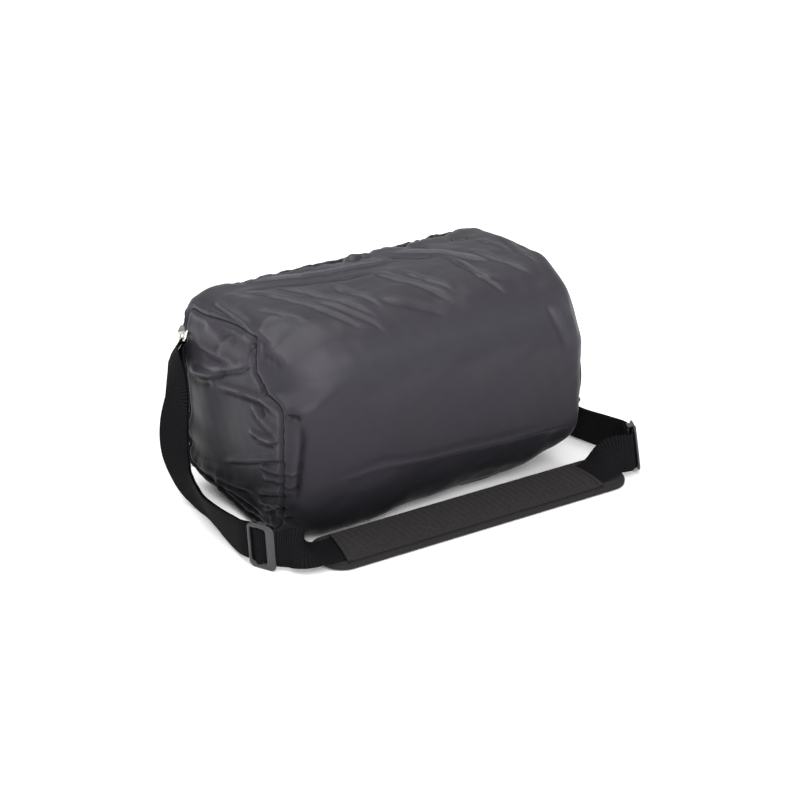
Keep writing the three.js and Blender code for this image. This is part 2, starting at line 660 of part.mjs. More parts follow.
// the three-bar adjuster: a front frame, and a middle bar behind the webbing on two cheeks
function makeGlides() {
  const {
    long, wide, corner, bar: end, side, innerCorner, lift, centreThick, centreHalfWide, centreHalfLong,
    cheekHalf, cheekIn, cheekOut,
  } = GLIDE;
  const frame = roundedShape(-wide / 2, wide / 2, -long / 2, long / 2, corner);
  const inside = roundedShape(
    -wide / 2 + end, wide / 2 - end, -long / 2 + side, long / 2 - side, innerCorner,
  );
  frame.holes.push(new THREE.Path(inside.getPoints(3).reverse()));
  const cheek = (y0, y1) => box(-cheekHalf, cheekHalf, y0, y1, -centreThick / 2, lift + 1);
  const body = join(
    plate(frame, lift, lift + GLIDE.barHigh, 3), cheek(-cheekOut, -cheekIn), cheek(cheekIn, cheekOut),
    box(-centreHalfWide, centreHalfWide, -centreHalfLong, centreHalfLong, -centreThick / 2, centreThick / 2),
  );
  Object.entries(GLIDES).forEach(([end, { at, along, across }]) => {
    const xDir = end === "left" ? along : along.clone().negate();
    const yDir = across.clone().addScaledVector(xDir, -across.dot(xDir)).normalize();
    add(`tri_glide_${end}`, place(geometryOf(body), at, xDir, yDir, xDir.clone().cross(yDir)), PLASTIC);
  });
}

function makePad() {
  const base = roundedShape(PAD.xLeft, PAD.xRight, 0, PAD.wide, PAD.nose);
  const lay = (geometry) => place(geometry, padEdge, vec(1, 0, 0), padBack, padUp);
  add("shoulder_pad_base", lay(plate(base, 0, PAD.base, 6)), PADDING);

  // the face is a crowned strip with a flat tunnel for the webbing and slanting ends
  const { wide, edge, high, slotWide, slotHigh, slant, fullness, xLeft, xRight } = PAD_FACE;
  const crown = Array.from({ length: 9 }, (_, k) => {
    const t = k / 8 - 0.5;
    return [wide * t, edge + (high - edge) * Math.cos(Math.PI * t) ** fullness];
  });
  const section = [
    [-wide / 2, 0], ...crown, [wide / 2, 0], [slotWide / 2, 0], [slotWide / 2, slotHigh],
    [-slotWide / 2, slotHigh], [-slotWide / 2, 0],
  ];
  const shape = new THREE.Shape(section.map(([u, v]) => new THREE.Vector2(u, v)));
  const length = xRight - xLeft;
  const strip = new THREE.ExtrudeGeometry(shape, { depth: length, bevelEnabled: false, steps: 1 });
  const positions = strip.attributes.position;
  for (let i = 0; i < positions.count; i += 1) {
    const [u, v, w] = [positions.getX(i), positions.getY(i), positions.getZ(i)];
    const end = w > length / 2 ? 1 : -1;
    positions.setXYZ(i, w + xLeft - (end * slant * u) / wide, u + PAD.wide / 2, v + PAD.base + GAP);
  }
  add("shoulder_pad_face", lay(strip), PADDING);
}

// ---------- buckle sockets for the carrier straps ----------
function makeSockets() {
  const { wide, thick, long, corner, wall, bar: barWide, slot, slotHalf } = SOCKET;
  const half = barWide / 2;
  const outline = roundedShape(-wide / 2, wide / 2, -long, half, corner);
  const shell = thick / 2 - wall;
  const mouth = box(-wide / 2 + wall + 1, wide / 2 - wall - 1, -long - 1, -slot - barWide, -shell, shell);
  const webSlot = box(-slotHalf, slotHalf, -half - slot, -half, -thick, thick);
  const { low, high } = SOCKET_WINDOW;
  const windows = box(-wide, wide, -long + high, -long + low, -shell - 0.01, shell + 0.01);
  const relief = (z0, z1) => box(
    -SOCKET_RELIEF.half, SOCKET_RELIEF.half, -half - SOCKET_RELIEF.under, half + SOCKET_RELIEF.beyond, z0, z1,
  );
  const body = [mouth, webSlot, windows, relief(half, thick), relief(-thick, -half)].reduce(
    (rest, cutter) => rest.subtract(solid(cutter)), solid(plate(outline, -thick / 2, thick / 2, 3)),
  );
  const stand = (x, z) => new THREE.Matrix4().makeBasis(vec(1, 0, 0), vec(0, 0, 1), vec(0, -1, 0))
    .setPosition(x, SOCKET_Y, z);
  const radius = half + SOCKET_TAB.slack + TAB.thick / 2;
  SOCKET_Z.forEach((z, row) => {
    [["left", -SOCKET_X], ["right", SOCKET_X]].forEach(([end, x]) => {
      const name = `${row === 0 ? "upper" : "lower"}_${end}`;
      add(`buckle_socket_${name}`, geometryOf(body).applyMatrix4(stand(x, z)), PLASTIC);
      const fold = foldRound(
        vec(x, SOCKET_Y, z), vec(0, 0, 1), vec(0, 1, 0), vec(1, 0, 0), SOCKET_TAB.long, TAB.thick,
        SOCKET_TAB.wide, radius, SOCKET_TAB.spread,
      );
      add(`socket_tab_${name}`, fold, WEBBING);
    });
  });
}

makeRainCover();
makeHemElastic();
makeBagBodyAndLid();
makeZipSliders();
makeBoards();
makeCarryHandle();
makeGripPanel();
makeRingsAndTabs();
makeHooks();
makeStrap();
makeGlides();
makePad();
makeSockets();

export default bag;
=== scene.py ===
import json
import math

import bmesh
import bpy
import numpy as np
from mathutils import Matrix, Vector

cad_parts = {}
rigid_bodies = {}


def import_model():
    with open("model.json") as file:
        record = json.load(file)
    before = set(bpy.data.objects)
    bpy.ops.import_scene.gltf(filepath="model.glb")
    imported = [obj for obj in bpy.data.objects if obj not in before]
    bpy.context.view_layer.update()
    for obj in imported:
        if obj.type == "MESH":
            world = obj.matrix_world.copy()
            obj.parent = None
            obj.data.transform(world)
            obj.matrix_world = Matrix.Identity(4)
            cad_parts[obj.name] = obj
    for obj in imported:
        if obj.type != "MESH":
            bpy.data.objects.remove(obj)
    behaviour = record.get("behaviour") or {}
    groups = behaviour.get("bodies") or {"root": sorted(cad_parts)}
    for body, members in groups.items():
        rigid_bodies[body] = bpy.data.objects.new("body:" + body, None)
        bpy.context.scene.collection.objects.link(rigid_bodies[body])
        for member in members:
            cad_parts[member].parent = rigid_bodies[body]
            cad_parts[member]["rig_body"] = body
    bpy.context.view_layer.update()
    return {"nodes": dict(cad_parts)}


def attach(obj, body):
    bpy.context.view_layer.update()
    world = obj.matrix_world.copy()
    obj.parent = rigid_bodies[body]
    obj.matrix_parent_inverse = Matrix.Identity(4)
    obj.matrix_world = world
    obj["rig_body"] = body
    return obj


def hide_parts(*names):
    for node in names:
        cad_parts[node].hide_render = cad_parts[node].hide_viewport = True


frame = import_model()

MM = 0.001

# ---------- the object's measures, in millimetres ----------
# the section's radii are at the lower front, lower back, upper back and upper front
COVER = dict(y_front=-94, y_back=121, z_low=0, z_high=228, r=(54, 40, 30, 80), half=187)
BAG = dict(y_front=-90, y_back=118, z_low=2, z_high=219, r=(50, 38, 28, 74), half=174)
MIDDLE = np.array([0, 13, 114])
LIP, MOUTH_RADIUS = 9, 26
WEB_WIDE, WEB_THICK = 40.0, 1.5
EYE = np.array([-192.0, 118, 156])
RING_HANG = np.array([-161.0, 138, 183])
RING_BAR = np.array([-148.0, 125, 194])
PAD_LEFT, PAD_RIGHT, PAD_FRONT, PAD_WIDE, PAD_NOSE = -176.0, 203.0, -151.0, 62.0, 25.0
PAD_BASE, PAD_Z, PAD_TILT = 5.0, 0.4, 8.0
FACE_LEFT, FACE_RIGHT, FACE_HALF, FACE_SLANT = -150.0, 160.0, 25.0, 9.0
RIB_HALF, RIB_PITCH, RIB_HIGH = 20.5, 7.6, 0.42
UP, BACK, ACROSS = np.array([0, 0, 1.0]), np.array([0, 1.0, 0]), np.array([1.0, 0, 0])


def unit(v):
    v = np.asarray(v, float)
    return v / np.linalg.norm(v)


def rad(a):
    return math.radians(a)


def smooth(t):
    t = np.clip(t, 0, 1)
    return t * t * (3 - 2 * t)


# ---------- materials ----------
class Nodes:
    """a material, with short ways to add nodes to it"""

    def __init__(self, name, **values):
        self.mat = bpy.data.materials.new(name)
        self.mat.use_nodes = True
        self.tree = self.mat.node_tree
        self.shader = self.tree.nodes["Principled BSDF"]
        self.shader.inputs["Base Color"].default_value = (0.1, 0.1, 0.1, 1)
        for key, value in values.items():
            self.shader.inputs[key.replace("_", " ")].default_value = value

    def node(self, kind, **values):
        n = self.tree.nodes.new(kind)
        for key, value in values.items():
            if key in n.inputs:
                n.inputs[key].default_value = value
            else:
                setattr(n, key, value)
        return n

    def link(self, a, b):
        self.tree.links.new(a, b)

    def put(self, key, value):
        self.link(value, self.shader.inputs[key])

    def math(self, op, a, b, clamp=False):
        n = self.node("ShaderNodeMath", operation=op, use_clamp=clamp)
        for socket, v in zip(n.inputs, (a, b)):
            if isinstance(v, (int, float)):
                socket.default_value = v
            else:
                self.link(v, socket)
        return n.outputs[0]

    def sum(self, a, share_a, b, share_b):
        b = self.math("MULTIPLY", b, share_b)
        return self.math("ADD", self.math("MULTIPLY", a, share_a), b)

    def multiply(self, a, b):
        n = self.node("ShaderNodeMix", data_type="RGBA", blend_type="MULTIPLY")
        n.inputs[0].default_value = 1.0
        self.link(a, n.inputs[6])
        self.link(b, n.inputs[7])
        return n.outputs[2]

    def coords(self, kind="Object"):
        return self.node("ShaderNodeTexCoord").outputs[kind]

    def noise(self, scale, detail=3.0, rough=0.5):
        n = self.node("ShaderNodeTexNoise", Scale=scale, Detail=detail, Roughness=rough)
        self.link(self.coords(), n.inputs["Vector"])
        return n.outputs["Fac"]

    def wave(self, scale, vector, direction="X"):
        n = self.node("ShaderNodeTexWave", bands_direction=direction, Scale=scale)
        self.link(vector, n.inputs["Vector"])
        return n.outputs["Fac"]

    def cells(self, scale, **values):
        n = self.node("ShaderNodeTexVoronoi", feature="F1", Scale=scale, **values)
        self.link(self.coords(), n.inputs["Vector"])
        return n.outputs["Distance"]

    def ramp(self, value, stops):
        n = self.node("ShaderNodeValToRGB")
        while len(n.color_ramp.elements) < len(stops):
            n.color_ramp.elements.new(0.5)
        for e, (at, colour) in zip(n.color_ramp.elements, stops):
            e.position = at
            e.color = (*colour, 1)
        self.link(value, n.inputs["Fac"])
        return n.outputs["Color"]

    def paint(self, value, stops):
        self.put("Base Color", self.ramp(value, stops))

    def rough(self, value, spread, base):
        self.put("Roughness", self.math("ADD", self.math("MULTIPLY", value, spread), base))

    def bumps(self, *layers):
        """layers of height socket, strength and distance in metres; gives the finished material"""
        normal = None
        for height, strength, distance in layers:
            b = self.node("ShaderNodeBump", Strength=strength, Distance=distance)
            self.link(height, b.inputs["Height"])
            if normal is not None:
                self.link(normal, b.inputs["Normal"])
            normal = b.outputs["Normal"]
        self.put("Normal", normal)
        return self.mat


def greys(*stops, tint=(1.0, 0.96, 1.08)):
    """colour ramp stops in the object's slightly violet grey"""
    return [(at, tuple(v * t for t in tint)) for at, v in stops]


def levels(*stops):
    return greys(*stops, tint=(1, 1, 1))


def cover_material():
    """thin coated nylon, with painted shade in its creases and towards the underside, where it is
    drawn in, and painted highlights on its ridges and high up
    """
    n = Nodes("cover_cloth", Sheen_Weight=0.02, Sheen_Roughness=0.4)
    cloud = n.noise(9, 3, 0.55)
    cloth = n.ramp(n.sum(cloud, 0.8, n.noise(160, 2), 0.2), greys((0.3, 0.029), (0.7, 0.034)))
    split = n.node("ShaderNodeSeparateXYZ")
    n.link(n.coords(), split.inputs["Vector"])
    high = n.math("MULTIPLY", split.outputs["Z"], 4.4, clamp=True)
    # painted shade and light by height: the colour is darkest at the bottom, where the cloth turns
    # under, and lightest a little below the top
    height_shade = n.ramp(high, greys((0.05, 0.2), (0.22, 0.35), (0.317, 0.57), (0.414, 0.64),
                              (0.634, 0.72), (0.836, 0.93), (0.96, 0.72)))
    # painted shade in creases and sunk seams and painted highlights on raised folds, read from the
    # fold heights stored on the mesh
    fold_shade_and_highlight = n.node("ShaderNodeAttribute", attribute_name="fold_shade_and_highlight").outputs["Fac"]
    level = n.math("ADD", n.math("MULTIPLY", fold_shade_and_highlight, 0.5), 0.5, clamp=True)
    crease = n.ramp(level, levels((0.0, 0.3), (0.3, 0.68), (0.5, 1.0), (0.75, 1.3), (0.92, 1.6),
                                  (1.0, 2.7)))
    n.put("Base Color", n.multiply(n.multiply(cloth, height_shade), crease))
    n.put("Specular IOR Level", n.ramp(high, levels((0.1, 0.05), (0.3, 0.07), (0.6, 0.13),
                                                    (0.8, 0.18), (0.95, 0.3))))
    n.rough(cloud, 0.1, 0.36)
    return n.bumps((n.noise(40, 2, 0.4), 0.1, 0.001), (n.noise(700, 2), 0.05, 0.0002))


def webbing_material():
    n = Nodes("webbing_weave", Roughness=0.7, Specular_IOR_Level=0.02)
    uv = n.coords("UV")
    dots = n.math("MULTIPLY", n.wave(130, uv), n.wave(150, uv, "Y"))
    fuzz = n.noise(900, 3, 0.6)
    n.paint(n.sum(dots, 0.65, fuzz, 0.35), greys((0.15, 0.0035), (0.75, 0.0135)))
    return n.bumps((dots, 0.8, 0.0006), (fuzz, 0.3, 0.0002))


def bag_material():
    n = Nodes("bag_weave", Roughness=0.8, Sheen_Weight=0.2)
    at = n.coords()
    threads = n.math("ADD", n.wave(260, at), n.wave(260, at, "Z"))
    cloud = n.noise(25, 4, 0.6)
    n.paint(n.sum(threads, 0.3, cloud, 0.4), greys((0.2, 0.012), (0.9, 0.024)))
    return n.bumps((threads, 0.6, 0.0003), (cloud, 0.3, 0.001))


PAD_SHEEN = dict(Roughness=0.85, Sheen_Weight=0.03, Sheen_Roughness=0.6, Specular_IOR_Level=0.1)


def pad_face_material():
    n = Nodes("pad_face_mesh", **PAD_SHEEN)
    cells, fuzz = n.cells(620), n.noise(420, 3, 0.6)
    n.paint(n.sum(cells, 0.8, fuzz, 0.3),
            [(0.15, (0.007, 0.006, 0.006)), (0.8, (0.020, 0.0175, 0.0178))])
    return n.bumps((cells, 0.8, 0.0007), (fuzz, 0.3, 0.0004))


def pad_edge_material():
    n = Nodes("pad_edge_cloth", **PAD_SHEEN)
    at = n.coords()
    n.paint(n.noise(420, 3, 0.6),
            [(0.3, (0.012, 0.011, 0.0112)), (0.75, (0.0185, 0.0165, 0.017))])
    threads = n.math("ADD", n.wave(330, at), n.wave(330, at, "Y"))
    return n.bumps((threads, 0.3, 0.0003), (n.noise(60, 4), 0.35, 0.0012))


def plastic_material():
    n = Nodes("moulded_plastic")
    cloud = n.noise(70)
    n.paint(cloud, greys((0.3, 0.015), (0.75, 0.023)))
    n.rough(cloud, 0.15, 0.33)
    return n.bumps((n.noise(1400, 2), 0.25, 0.00012))


def rubber_material():
    n = Nodes("grip_rubber", Roughness=0.6)
    nub = n.math("GREATER_THAN", 0.32, n.cells(190, Randomness=0.0))
    n.paint(n.noise(40), greys((0.3, 0.010), (0.8, 0.018)))
    return n.bumps((nub, 0.6, 0.0008), (n.noise(900, 2), 0.2, 0.0002))


def nickel_material():
    n = Nodes("plated_nickel", Metallic=1.0)
    cloud = n.noise(120, 4, 0.6)
    n.paint(cloud, [(0.3, (0.45, 0.435, 0.41)), (0.8, (0.64, 0.625, 0.6))])
    n.rough(cloud, 0.16, 0.12)
    return n.bumps((n.noise(700), 0.08, 0.0001))


def board_material():
    n = Nodes("board_sheet", Roughness=0.55)
    cloud = n.noise(160, 4, 0.6)
    n.paint(cloud, greys((0.3, 0.02), (0.8, 0.035)))
    return n.bumps((cloud, 0.2, 0.0003))


def zip_material():
    n = Nodes("zip_coil", Roughness=0.5)
    teeth = n.wave(240, n.coords())
    n.paint(teeth, greys((0.2, 0.012), (0.9, 0.03)))
    return n.bumps((teeth, 0.7, 0.0006))


def thread_material():
    n = Nodes("sewing_thread", Roughness=0.7, Specular_IOR_Level=0.15)
    n.paint(n.noise(1200, 2), greys((0.3, 0.0025), (0.8, 0.008)))
    return n.mat


MAT = {
    "cover": cover_material(), "webbing": webbing_material(), "bag": bag_material(),
    "pad_face": pad_face_material(), "pad_edge": pad_edge_material(),
    "plastic": plastic_material(), "rubber": rubber_material(), "nickel": nickel_material(),
    "board": board_material(), "zip": zip_material(), "thread": thread_material(),
}


# ---------- mesh helpers ----------
def edit(mesh, work):
    bm = bmesh.new()
    bm.from_mesh(mesh)
    work(bm)
    bm.to_mesh(mesh)
    bm.free()


def shown(name, mesh, material):
    """a smooth object with one material"""
    mesh.polygons.foreach_set("use_smooth", [True] * len(mesh.polygons))
    mesh.materials.append(MAT[material])
    obj = bpy.data.objects.new(name, mesh)
    bpy.context.scene.collection.objects.link(obj)
    return obj


def make(name, points, faces, material, slot, body="bag", nodes=(), uvs=None):
    """a piece from points in millimetres, which rides on a body and stands for CAD nodes"""
    mesh = bpy.data.meshes.new(name)
    mesh.from_pydata((np.asarray(points) * MM).tolist(), [], [tuple(map(int, f)) for f in faces])
    mesh.validate()
    edit(mesh, lambda bm: bmesh.ops.recalc_face_normals(bm, faces=bm.faces))
    if uvs is not None:
        layer = mesh.uv_layers.new(name="UVMap")
        at = np.empty(len(mesh.loops), int)
        mesh.loops.foreach_get("vertex_index", at)
        layer.data.foreach_set("uv", np.asarray(uvs, float)[at].ravel())
    obj = shown(name, mesh, material)
    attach(obj, body)
    if nodes:
        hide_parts(*nodes)
    return obj


def grid_faces(rows, columns, loop_rows=False, loop_columns=True):
    r = np.arange(rows if loop_rows else rows - 1)
    c = np.arange(columns if loop_columns else columns - 1)
    a, b = np.meshgrid(r, c, indexing="ij")
    nr, nc = (a + 1) % rows, (b + 1) % columns
    quads = [a * columns + b, a * columns + nc, nr * columns + nc, nr * columns + b]
    return np.stack(quads, -1).reshape(-1, 4)


def rod(rings):
    """a solid from a row of rings, with a fan over each end"""
    rings = np.asarray(rings)
    rows, columns = rings.shape[:2]
    last, n = (rows - 1) * columns, rows * columns
    ends = []
    for k in range(columns):
        ends.append((k, (k + 1) % columns, n))
        ends.append((last + k, n + 1, last + (k + 1) % columns))
    points = np.array([*rings.reshape(-1, 3), rings[0].mean(0), rings[-1].mean(0)])
    return points, [*map(tuple, grid_faces(rows, columns)), *ends]


def slab(top, bottom, rows, columns):
    """a closed sheet between two grids of points"""
    count = rows * columns
    one = grid_faces(rows, columns, loop_columns=False)
    faces = [*map(tuple, one), *(tuple(i + count for i in f[::-1]) for f in one)]
    along = [i * columns for i in range(rows)]
    edges = [(k + a, k + b) for a, b in zip(along, along[1:]) for k in (0, columns - 1)]
    edges += [(k + a, k + a + 1) for a in range(columns - 1) for k in (0, along[-1])]
    faces += [(a, b, b + count, a + count) for a, b in edges]
    return np.array(top + bottom), faces


def merge(*parts):
    points, faces, start = [], [], 0
    for p, f in parts:
        points.append(np.asarray(p))
        faces += [tuple(i + start for i in face) for face in f]
        start += len(p)
    return np.concatenate(points), faces


def circle(sides):
    angle = np.linspace(0, 2 * math.pi, sides, endpoint=False)
    return np.cos(angle), np.sin(angle)


def arc(cx, cy, radius, angles):
    return [(cx + radius * math.cos(rad(a)), cy + radius * math.sin(rad(a))) for a in angles]


def frames(line, loop):
    """a direction across a line that turns as little as possible, and the one square to it"""
    n = len(line)
    along = [unit(line[(i + 1) % n if loop else min(i + 1, n - 1)]
                  - line[i - 1 if loop else max(i - 1, 0)]) for i in range(n)]
    side = unit(np.cross(along[0], [0.31, 0.42, 0.85]))
    out = []
    for t in along:
        side = unit(side - t * side.dot(t))
        out.append((side, np.cross(t, side)))
    return out


def tube(line, radius, sides=16, loop=False):
    line = [np.asarray(p, float) for p in line]
    radii = radius if hasattr(radius, "__len__") else [radius] * len(line)
    c, s = circle(sides)
    rings = [p + r * (np.outer(c, side) + np.outer(s, up))
             for p, r, (side, up) in zip(line, radii, frames(line, loop))]
    return (np.concatenate(rings), grid_faces(len(line), sides, True)) if loop else rod(rings)


def curve_points(points, count, tension=None):
    """three.js's open Catmull-Rom curve: centripetal, or uniform with a tension"""
    pts = [np.asarray(p, float) for p in points]
    pts = [2 * pts[0] - pts[1], *pts, 2 * pts[-1] - pts[-2]]
    spans = len(pts) - 3
    out = []
    for t in np.linspace(0, 1, count):
        i = min(int(spans * t), spans - 1)
        w = spans * t - i
        p0, p1, p2, p3 = pts[i:i + 4]
        if tension is not None:
            a, b = tension * (p2 - p0), tension * (p3 - p1)
        else:
            d0, d1, d2 = (max(((q - r) ** 2).sum(), 1e-9) ** 0.25
                          for q, r in ((p0, p1), (p1, p2), (p2, p3)))
            a = ((p1 - p0) / d0 - (p2 - p0) / (d0 + d1) + (p2 - p1) / d1) * d1
            b = ((p2 - p1) / d1 - (p3 - p1) / (d1 + d2) + (p3 - p2) / d2) * d1
        out.append(p1 + a * w + (3 * p2 - 3 * p1 - 2 * a - b) * w * w
                   + (2 * p1 - 2 * p2 + a + b) * w ** 3)
    return np.array(out)


def outward_normals(points, faces):
    """vertex normals of a closed surface round the roll's middle"""
    f = np.array([face if len(face) == 4 else (*face, face[0]) for face in faces])
    n = np.cross(points[f[:, 2]] - points[f[:, 0]], points[f[:, 3]] - points[f[:, 1]])
    out = np.zeros_like(points)
    for k in range(4):
        np.add.at(out, f[:, k], n)
    out /= np.maximum(np.linalg.norm(out, axis=1, keepdims=True), 1e-12)
    return out * np.sign((out * (points - MIDDLE)).sum(1).mean())


def hash_noise(seed):
    """smooth noise along a line, from a seeded table"""
    table = np.random.default_rng(seed).uniform(-1, 1, 4096)

    def at(x):
        x = np.asarray(x, float)
        i = np.floor(x).astype(int)
        t = smooth(x - i)
        return table[i % 4096] * (1 - t) + table[(i + 1) % 4096] * t
    return at


def field_noise(points, scale, seed):
    """smooth noise in space, from a few seeded plane waves"""
    rng = np.random.default_rng(seed)
    total = np.zeros(len(points))
    for _ in range(14):
        k = rng.normal(size=3)
        k = k / np.linalg.norm(k) * rng.uniform(0.6, 1.6) * 2 * math.pi / scale
        total += np.sin(points @ k + rng.uniform(0, 2 * math.pi))
    return total / 14 ** 0.5


def run_of(line):
    """the distance along a line at each of its points"""
    return np.concatenate([[0], np.cumsum(np.linalg.norm(np.diff(line, axis=0), axis=1))])


def point_on(line, run, at):
    return np.stack([np.interp(at, run, line[:, k]) for k in range(line.shape[1])], -1)


def resample(line, count):
    run = run_of(line)
    return point_on(line, run, np.linspace(0, run[-1], count))


# ---------- the roll's shape ----------
def outline(size):
    """the section from the lip at the bottom round the front to the lip at the top, and its back"""
    r_front_low, r_back_low, r_back_high, r_front_high = size["r"]
    yf, yb, zl, zh = (size[key] for key in ("y_front", "y_back", "z_low", "z_high"))
    start = math.degrees(math.asin((r_back_low - LIP) / r_back_low))
    end = math.degrees(math.asin((r_back_high - LIP) / r_back_high))
    low = (yb - r_back_low, zl + r_back_low, r_back_low)
    high = (yb - r_back_high, zh - r_back_high, r_back_high)
    main = []
    for centre, a0, a1 in (
        (low, -start, -90), ((yf + r_front_low, zl + r_front_low, r_front_low), -90, -180),
        ((yf + r_front_high, zh - r_front_high, r_front_high), 180, 90), (high, 90, end),
    ):
        main += arc(*centre, np.linspace(a0, a1, max(int(abs(a1 - a0) * 0.4), 3)))
    back = [main[-1], *arc(*high, np.linspace(end, 0, 12)[1:])]
    back += arc(*low, np.linspace(0, -start, 12))
    return np.array(main), np.array(back)


def by_side(normal, back, top, front, bottom):
    """a measure that changes round the section with the way the surface faces"""
    y, z = normal[:, 0], normal[:, 1]
    return sum(np.maximum(facing, 0) ** 2 * value
               for facing, value in ((y, back), (z, top), (-y, front), (-z, bottom)))


def roll(size, around, back_count, length_count, round_count, cap_count, ends, dome, bulge=(0, 0)):
    """rings along the roll: left cap, left rounding, length, right rounding, right cap. Each end
    has its inset and reach at the back, top, front and bottom, and an extra inset at the upper
    front"""
    main, back = outline(size)
    ring = np.concatenate([resample(main, around), resample(back, back_count)[1:-1]])
    n = len(ring)
    tangent = np.roll(ring, -1, 0) - np.roll(ring, 1, 0)
    normal = np.stack([tangent[:, 1], -tangent[:, 0]], 1)
    normal /= np.linalg.norm(normal, axis=1, keepdims=True)
    middle = [(size["y_front"] + size["y_back"]) / 2, (size["z_low"] + size["z_high"]) / 2]
    if ((ring - middle) * normal).sum() < 0:
        normal = -normal
    ring = ring + normal * by_side(normal, 0, *bulge, 0)[:, None]
    half = size["half"]
    sides = []
    for sign, (inset, reach, corner) in zip((-1, 1), ends):
        diagonal = smooth(2.6 * np.maximum(-normal[:, 0], 0) * np.maximum(normal[:, 1], 0))
        rx = by_side(normal, *reach) + 1.5 * corner * diagonal
        inner = ring - normal * (by_side(normal, *inset) + corner * diagonal)[:, None]
        centre = inner.mean(0)
        rows = [(np.full(n, half + dome * (1 - r * r)), centre + (inner - centre) * r)
                for r in np.linspace(0, 1, cap_count + 1)[1:]]
        rows += [(half - rx * (1 - math.cos(t)), inner + (ring - inner) * math.sin(t))
                 for t in np.linspace(0, math.pi / 2, round_count + 2)[1:-1]]
        sides.append(([np.column_stack([sign * x, yz]) for x, yz in rows], sign * (half - rx)))
    (left, x0), (right, x1) = sides
    length = [np.column_stack([x0 + (x1 - x0) * s, ring]) for s in np.linspace(0, 1, length_count)]
    return np.array([*left, *length, *right[::-1]])


def settle(points):
    """the soft roll's slump: shorter to the right, drawn in at the upper left, lower along the
    top's back, and with its lower right and back left corners lifted off the floor"""
    x, y, z = (points[..., k].copy() for k in range(3))
    low = np.clip(1 - z / 100, 0, 1) ** 2
    lift_right = np.clip((x - 108) / 76, 0, 1) ** 2 * low
    lift_left = np.clip((-x - 118) / 69, 0, 1) ** 2 * low * smooth((y + 10) / 90)
    shorter = np.where(x > 0, 0.966, 0.986 + 0.02 * smooth((y - 20) / 60))
    drawn_in = 9 * smooth((z - 186) / 36) * smooth((-x - 120) / 60)
    sag = (7 - 3 * smooth((x - 60) / 90)) * smooth((y - 20) / 80) * smooth((z - 120) / 90)
    spread = smooth((-x - 25) / 60) * smooth((-y - 30) / 30) * smooth((165 + x) / 25)
    out = np.array(points, float)
    out[..., 0] = x * shorter + drawn_in
    out[..., 1] += 10 * lift_right * (y < 0)
    out[..., 2] += 32 * lift_right + 15 * lift_left - sag
    out[..., 2] -= 0.75 * z * spread * np.clip(1 - z / 32, 0, 1)
    return out


def under_turn(points, normals):
    """how far the cloth is drawn in below the line where it leaves the bag's front"""
    x, z = points[:, 0], points[:, 2]
    down = 67 - 0.045 * x - z
    onset = 8 + 10 * smooth(-x / 120)
    deep = 9 * (1 - np.exp(-np.maximum(down, 0) / onset))
    deep *= np.exp(-(down / (54 + 8 * smooth(x / 80))) ** 4)
    facing = np.clip(-normals[:, 1] / 0.35, 0, 1)
    return deep * facing * smooth((x + 145) / 150) * smooth((174 - x) / 38)


# ---------- camera, light and floor ----------
def make_stage():
    scene = bpy.context.scene
    scene.view_settings.view_transform = "Standard"
    scene.view_settings.look = "None"
    azimuth, elevation, away = rad(-34), rad(23), 2.6
    toward = Vector((math.sin(azimuth) * math.cos(elevation),
                     -math.cos(azimuth) * math.cos(elevation), math.sin(elevation)))
    data = bpy.data.cameras.new("camera")
    data.lens = 111.15
    data.sensor_width = 36
    camera = bpy.data.objects.new("camera", data)
    camera.location = Vector((0.005, 0, 0.092)) + toward * away
    camera.rotation_euler = (-toward).to_track_quat("-Z", "Y").to_euler()
    scene.collection.objects.link(camera)
    scene.camera = camera

    scene.world = bpy.data.worlds.new("studio")
    scene.world.use_nodes = True
    background = scene.world.node_tree.nodes["Background"].inputs
    background["Color"].default_value = (1, 1, 1, 1)
    background["Strength"].default_value = 0.5

    lights_face = Vector((0, 0, 0.08))
    for name, kind, place, size, power in (
        ("overhead", "SUN", (-0.4, 0.5, 2.4), rad(65), 2.7),
        ("key_front", "AREA", (-0.7, -2.1, 1.6), 2.2, 80),
        ("fill_right", "AREA", (2.0, -1.2, 0.9), 1.2, 4),
    ):
        lamp = bpy.data.lights.new(name, kind)
        lamp.energy = power
        if kind == "SUN":
            lamp.angle = size
        else:
            lamp.shape = "SQUARE"
            lamp.size = size
        obj = bpy.data.objects.new(name, lamp)
        obj.location = place
        obj.rotation_euler = (lights_face - Vector(place)).to_track_quat("-Z", "Y").to_euler()
        scene.collection.objects.link(obj)

    floor = Nodes("floor_white", Roughness=0.9, Specular_IOR_Level=0.1)
    floor.paint(floor.noise(3, 2), [(0.3, (0.93, 0.925, 0.93)), (0.7, (0.95, 0.945, 0.95))])
    mesh = bpy.data.meshes.new("floor")
    mesh.from_pydata([(-9, -9, 0), (9, -9, 0), (9, 9, 0), (-9, 9, 0)], [], [(0, 1, 2, 3)])
    mesh.materials.append(floor.mat)
    obj = bpy.data.objects.new("floor", mesh)
    scene.collection.objects.link(obj)


# ---------- the rain cover ----------
def rounded_loop(x_half, z_low, z_high, radius, count):
    """a rounded rectangle in X and Z, evenly spaced, starting at the middle of the bottom"""
    x, low, high = x_half - radius, z_low + radius, z_high - radius
    points = [(0, z_low)]
    for cx, cz, a0 in ((x, low, -90), (x, high, 0), (-x, high, 90), (-x, low, 180)):
        points += arc(cx, cz, radius, a0 + np.linspace(0, 90, 14))
    return resample(np.array([*points, points[0]], float), count + 1)[:-1]


def cover_back(z):
    """where the cover's back is at a height"""
    _, low, high, _ = COVER["r"]
    up = np.clip(z - (COVER["z_high"] - high), 0, high)
    down = np.clip(COVER["z_low"] + low - z, 0, low)
    return (COVER["y_back"] - high + np.sqrt(high ** 2 - up ** 2)
            - low + np.sqrt(low ** 2 - down ** 2))


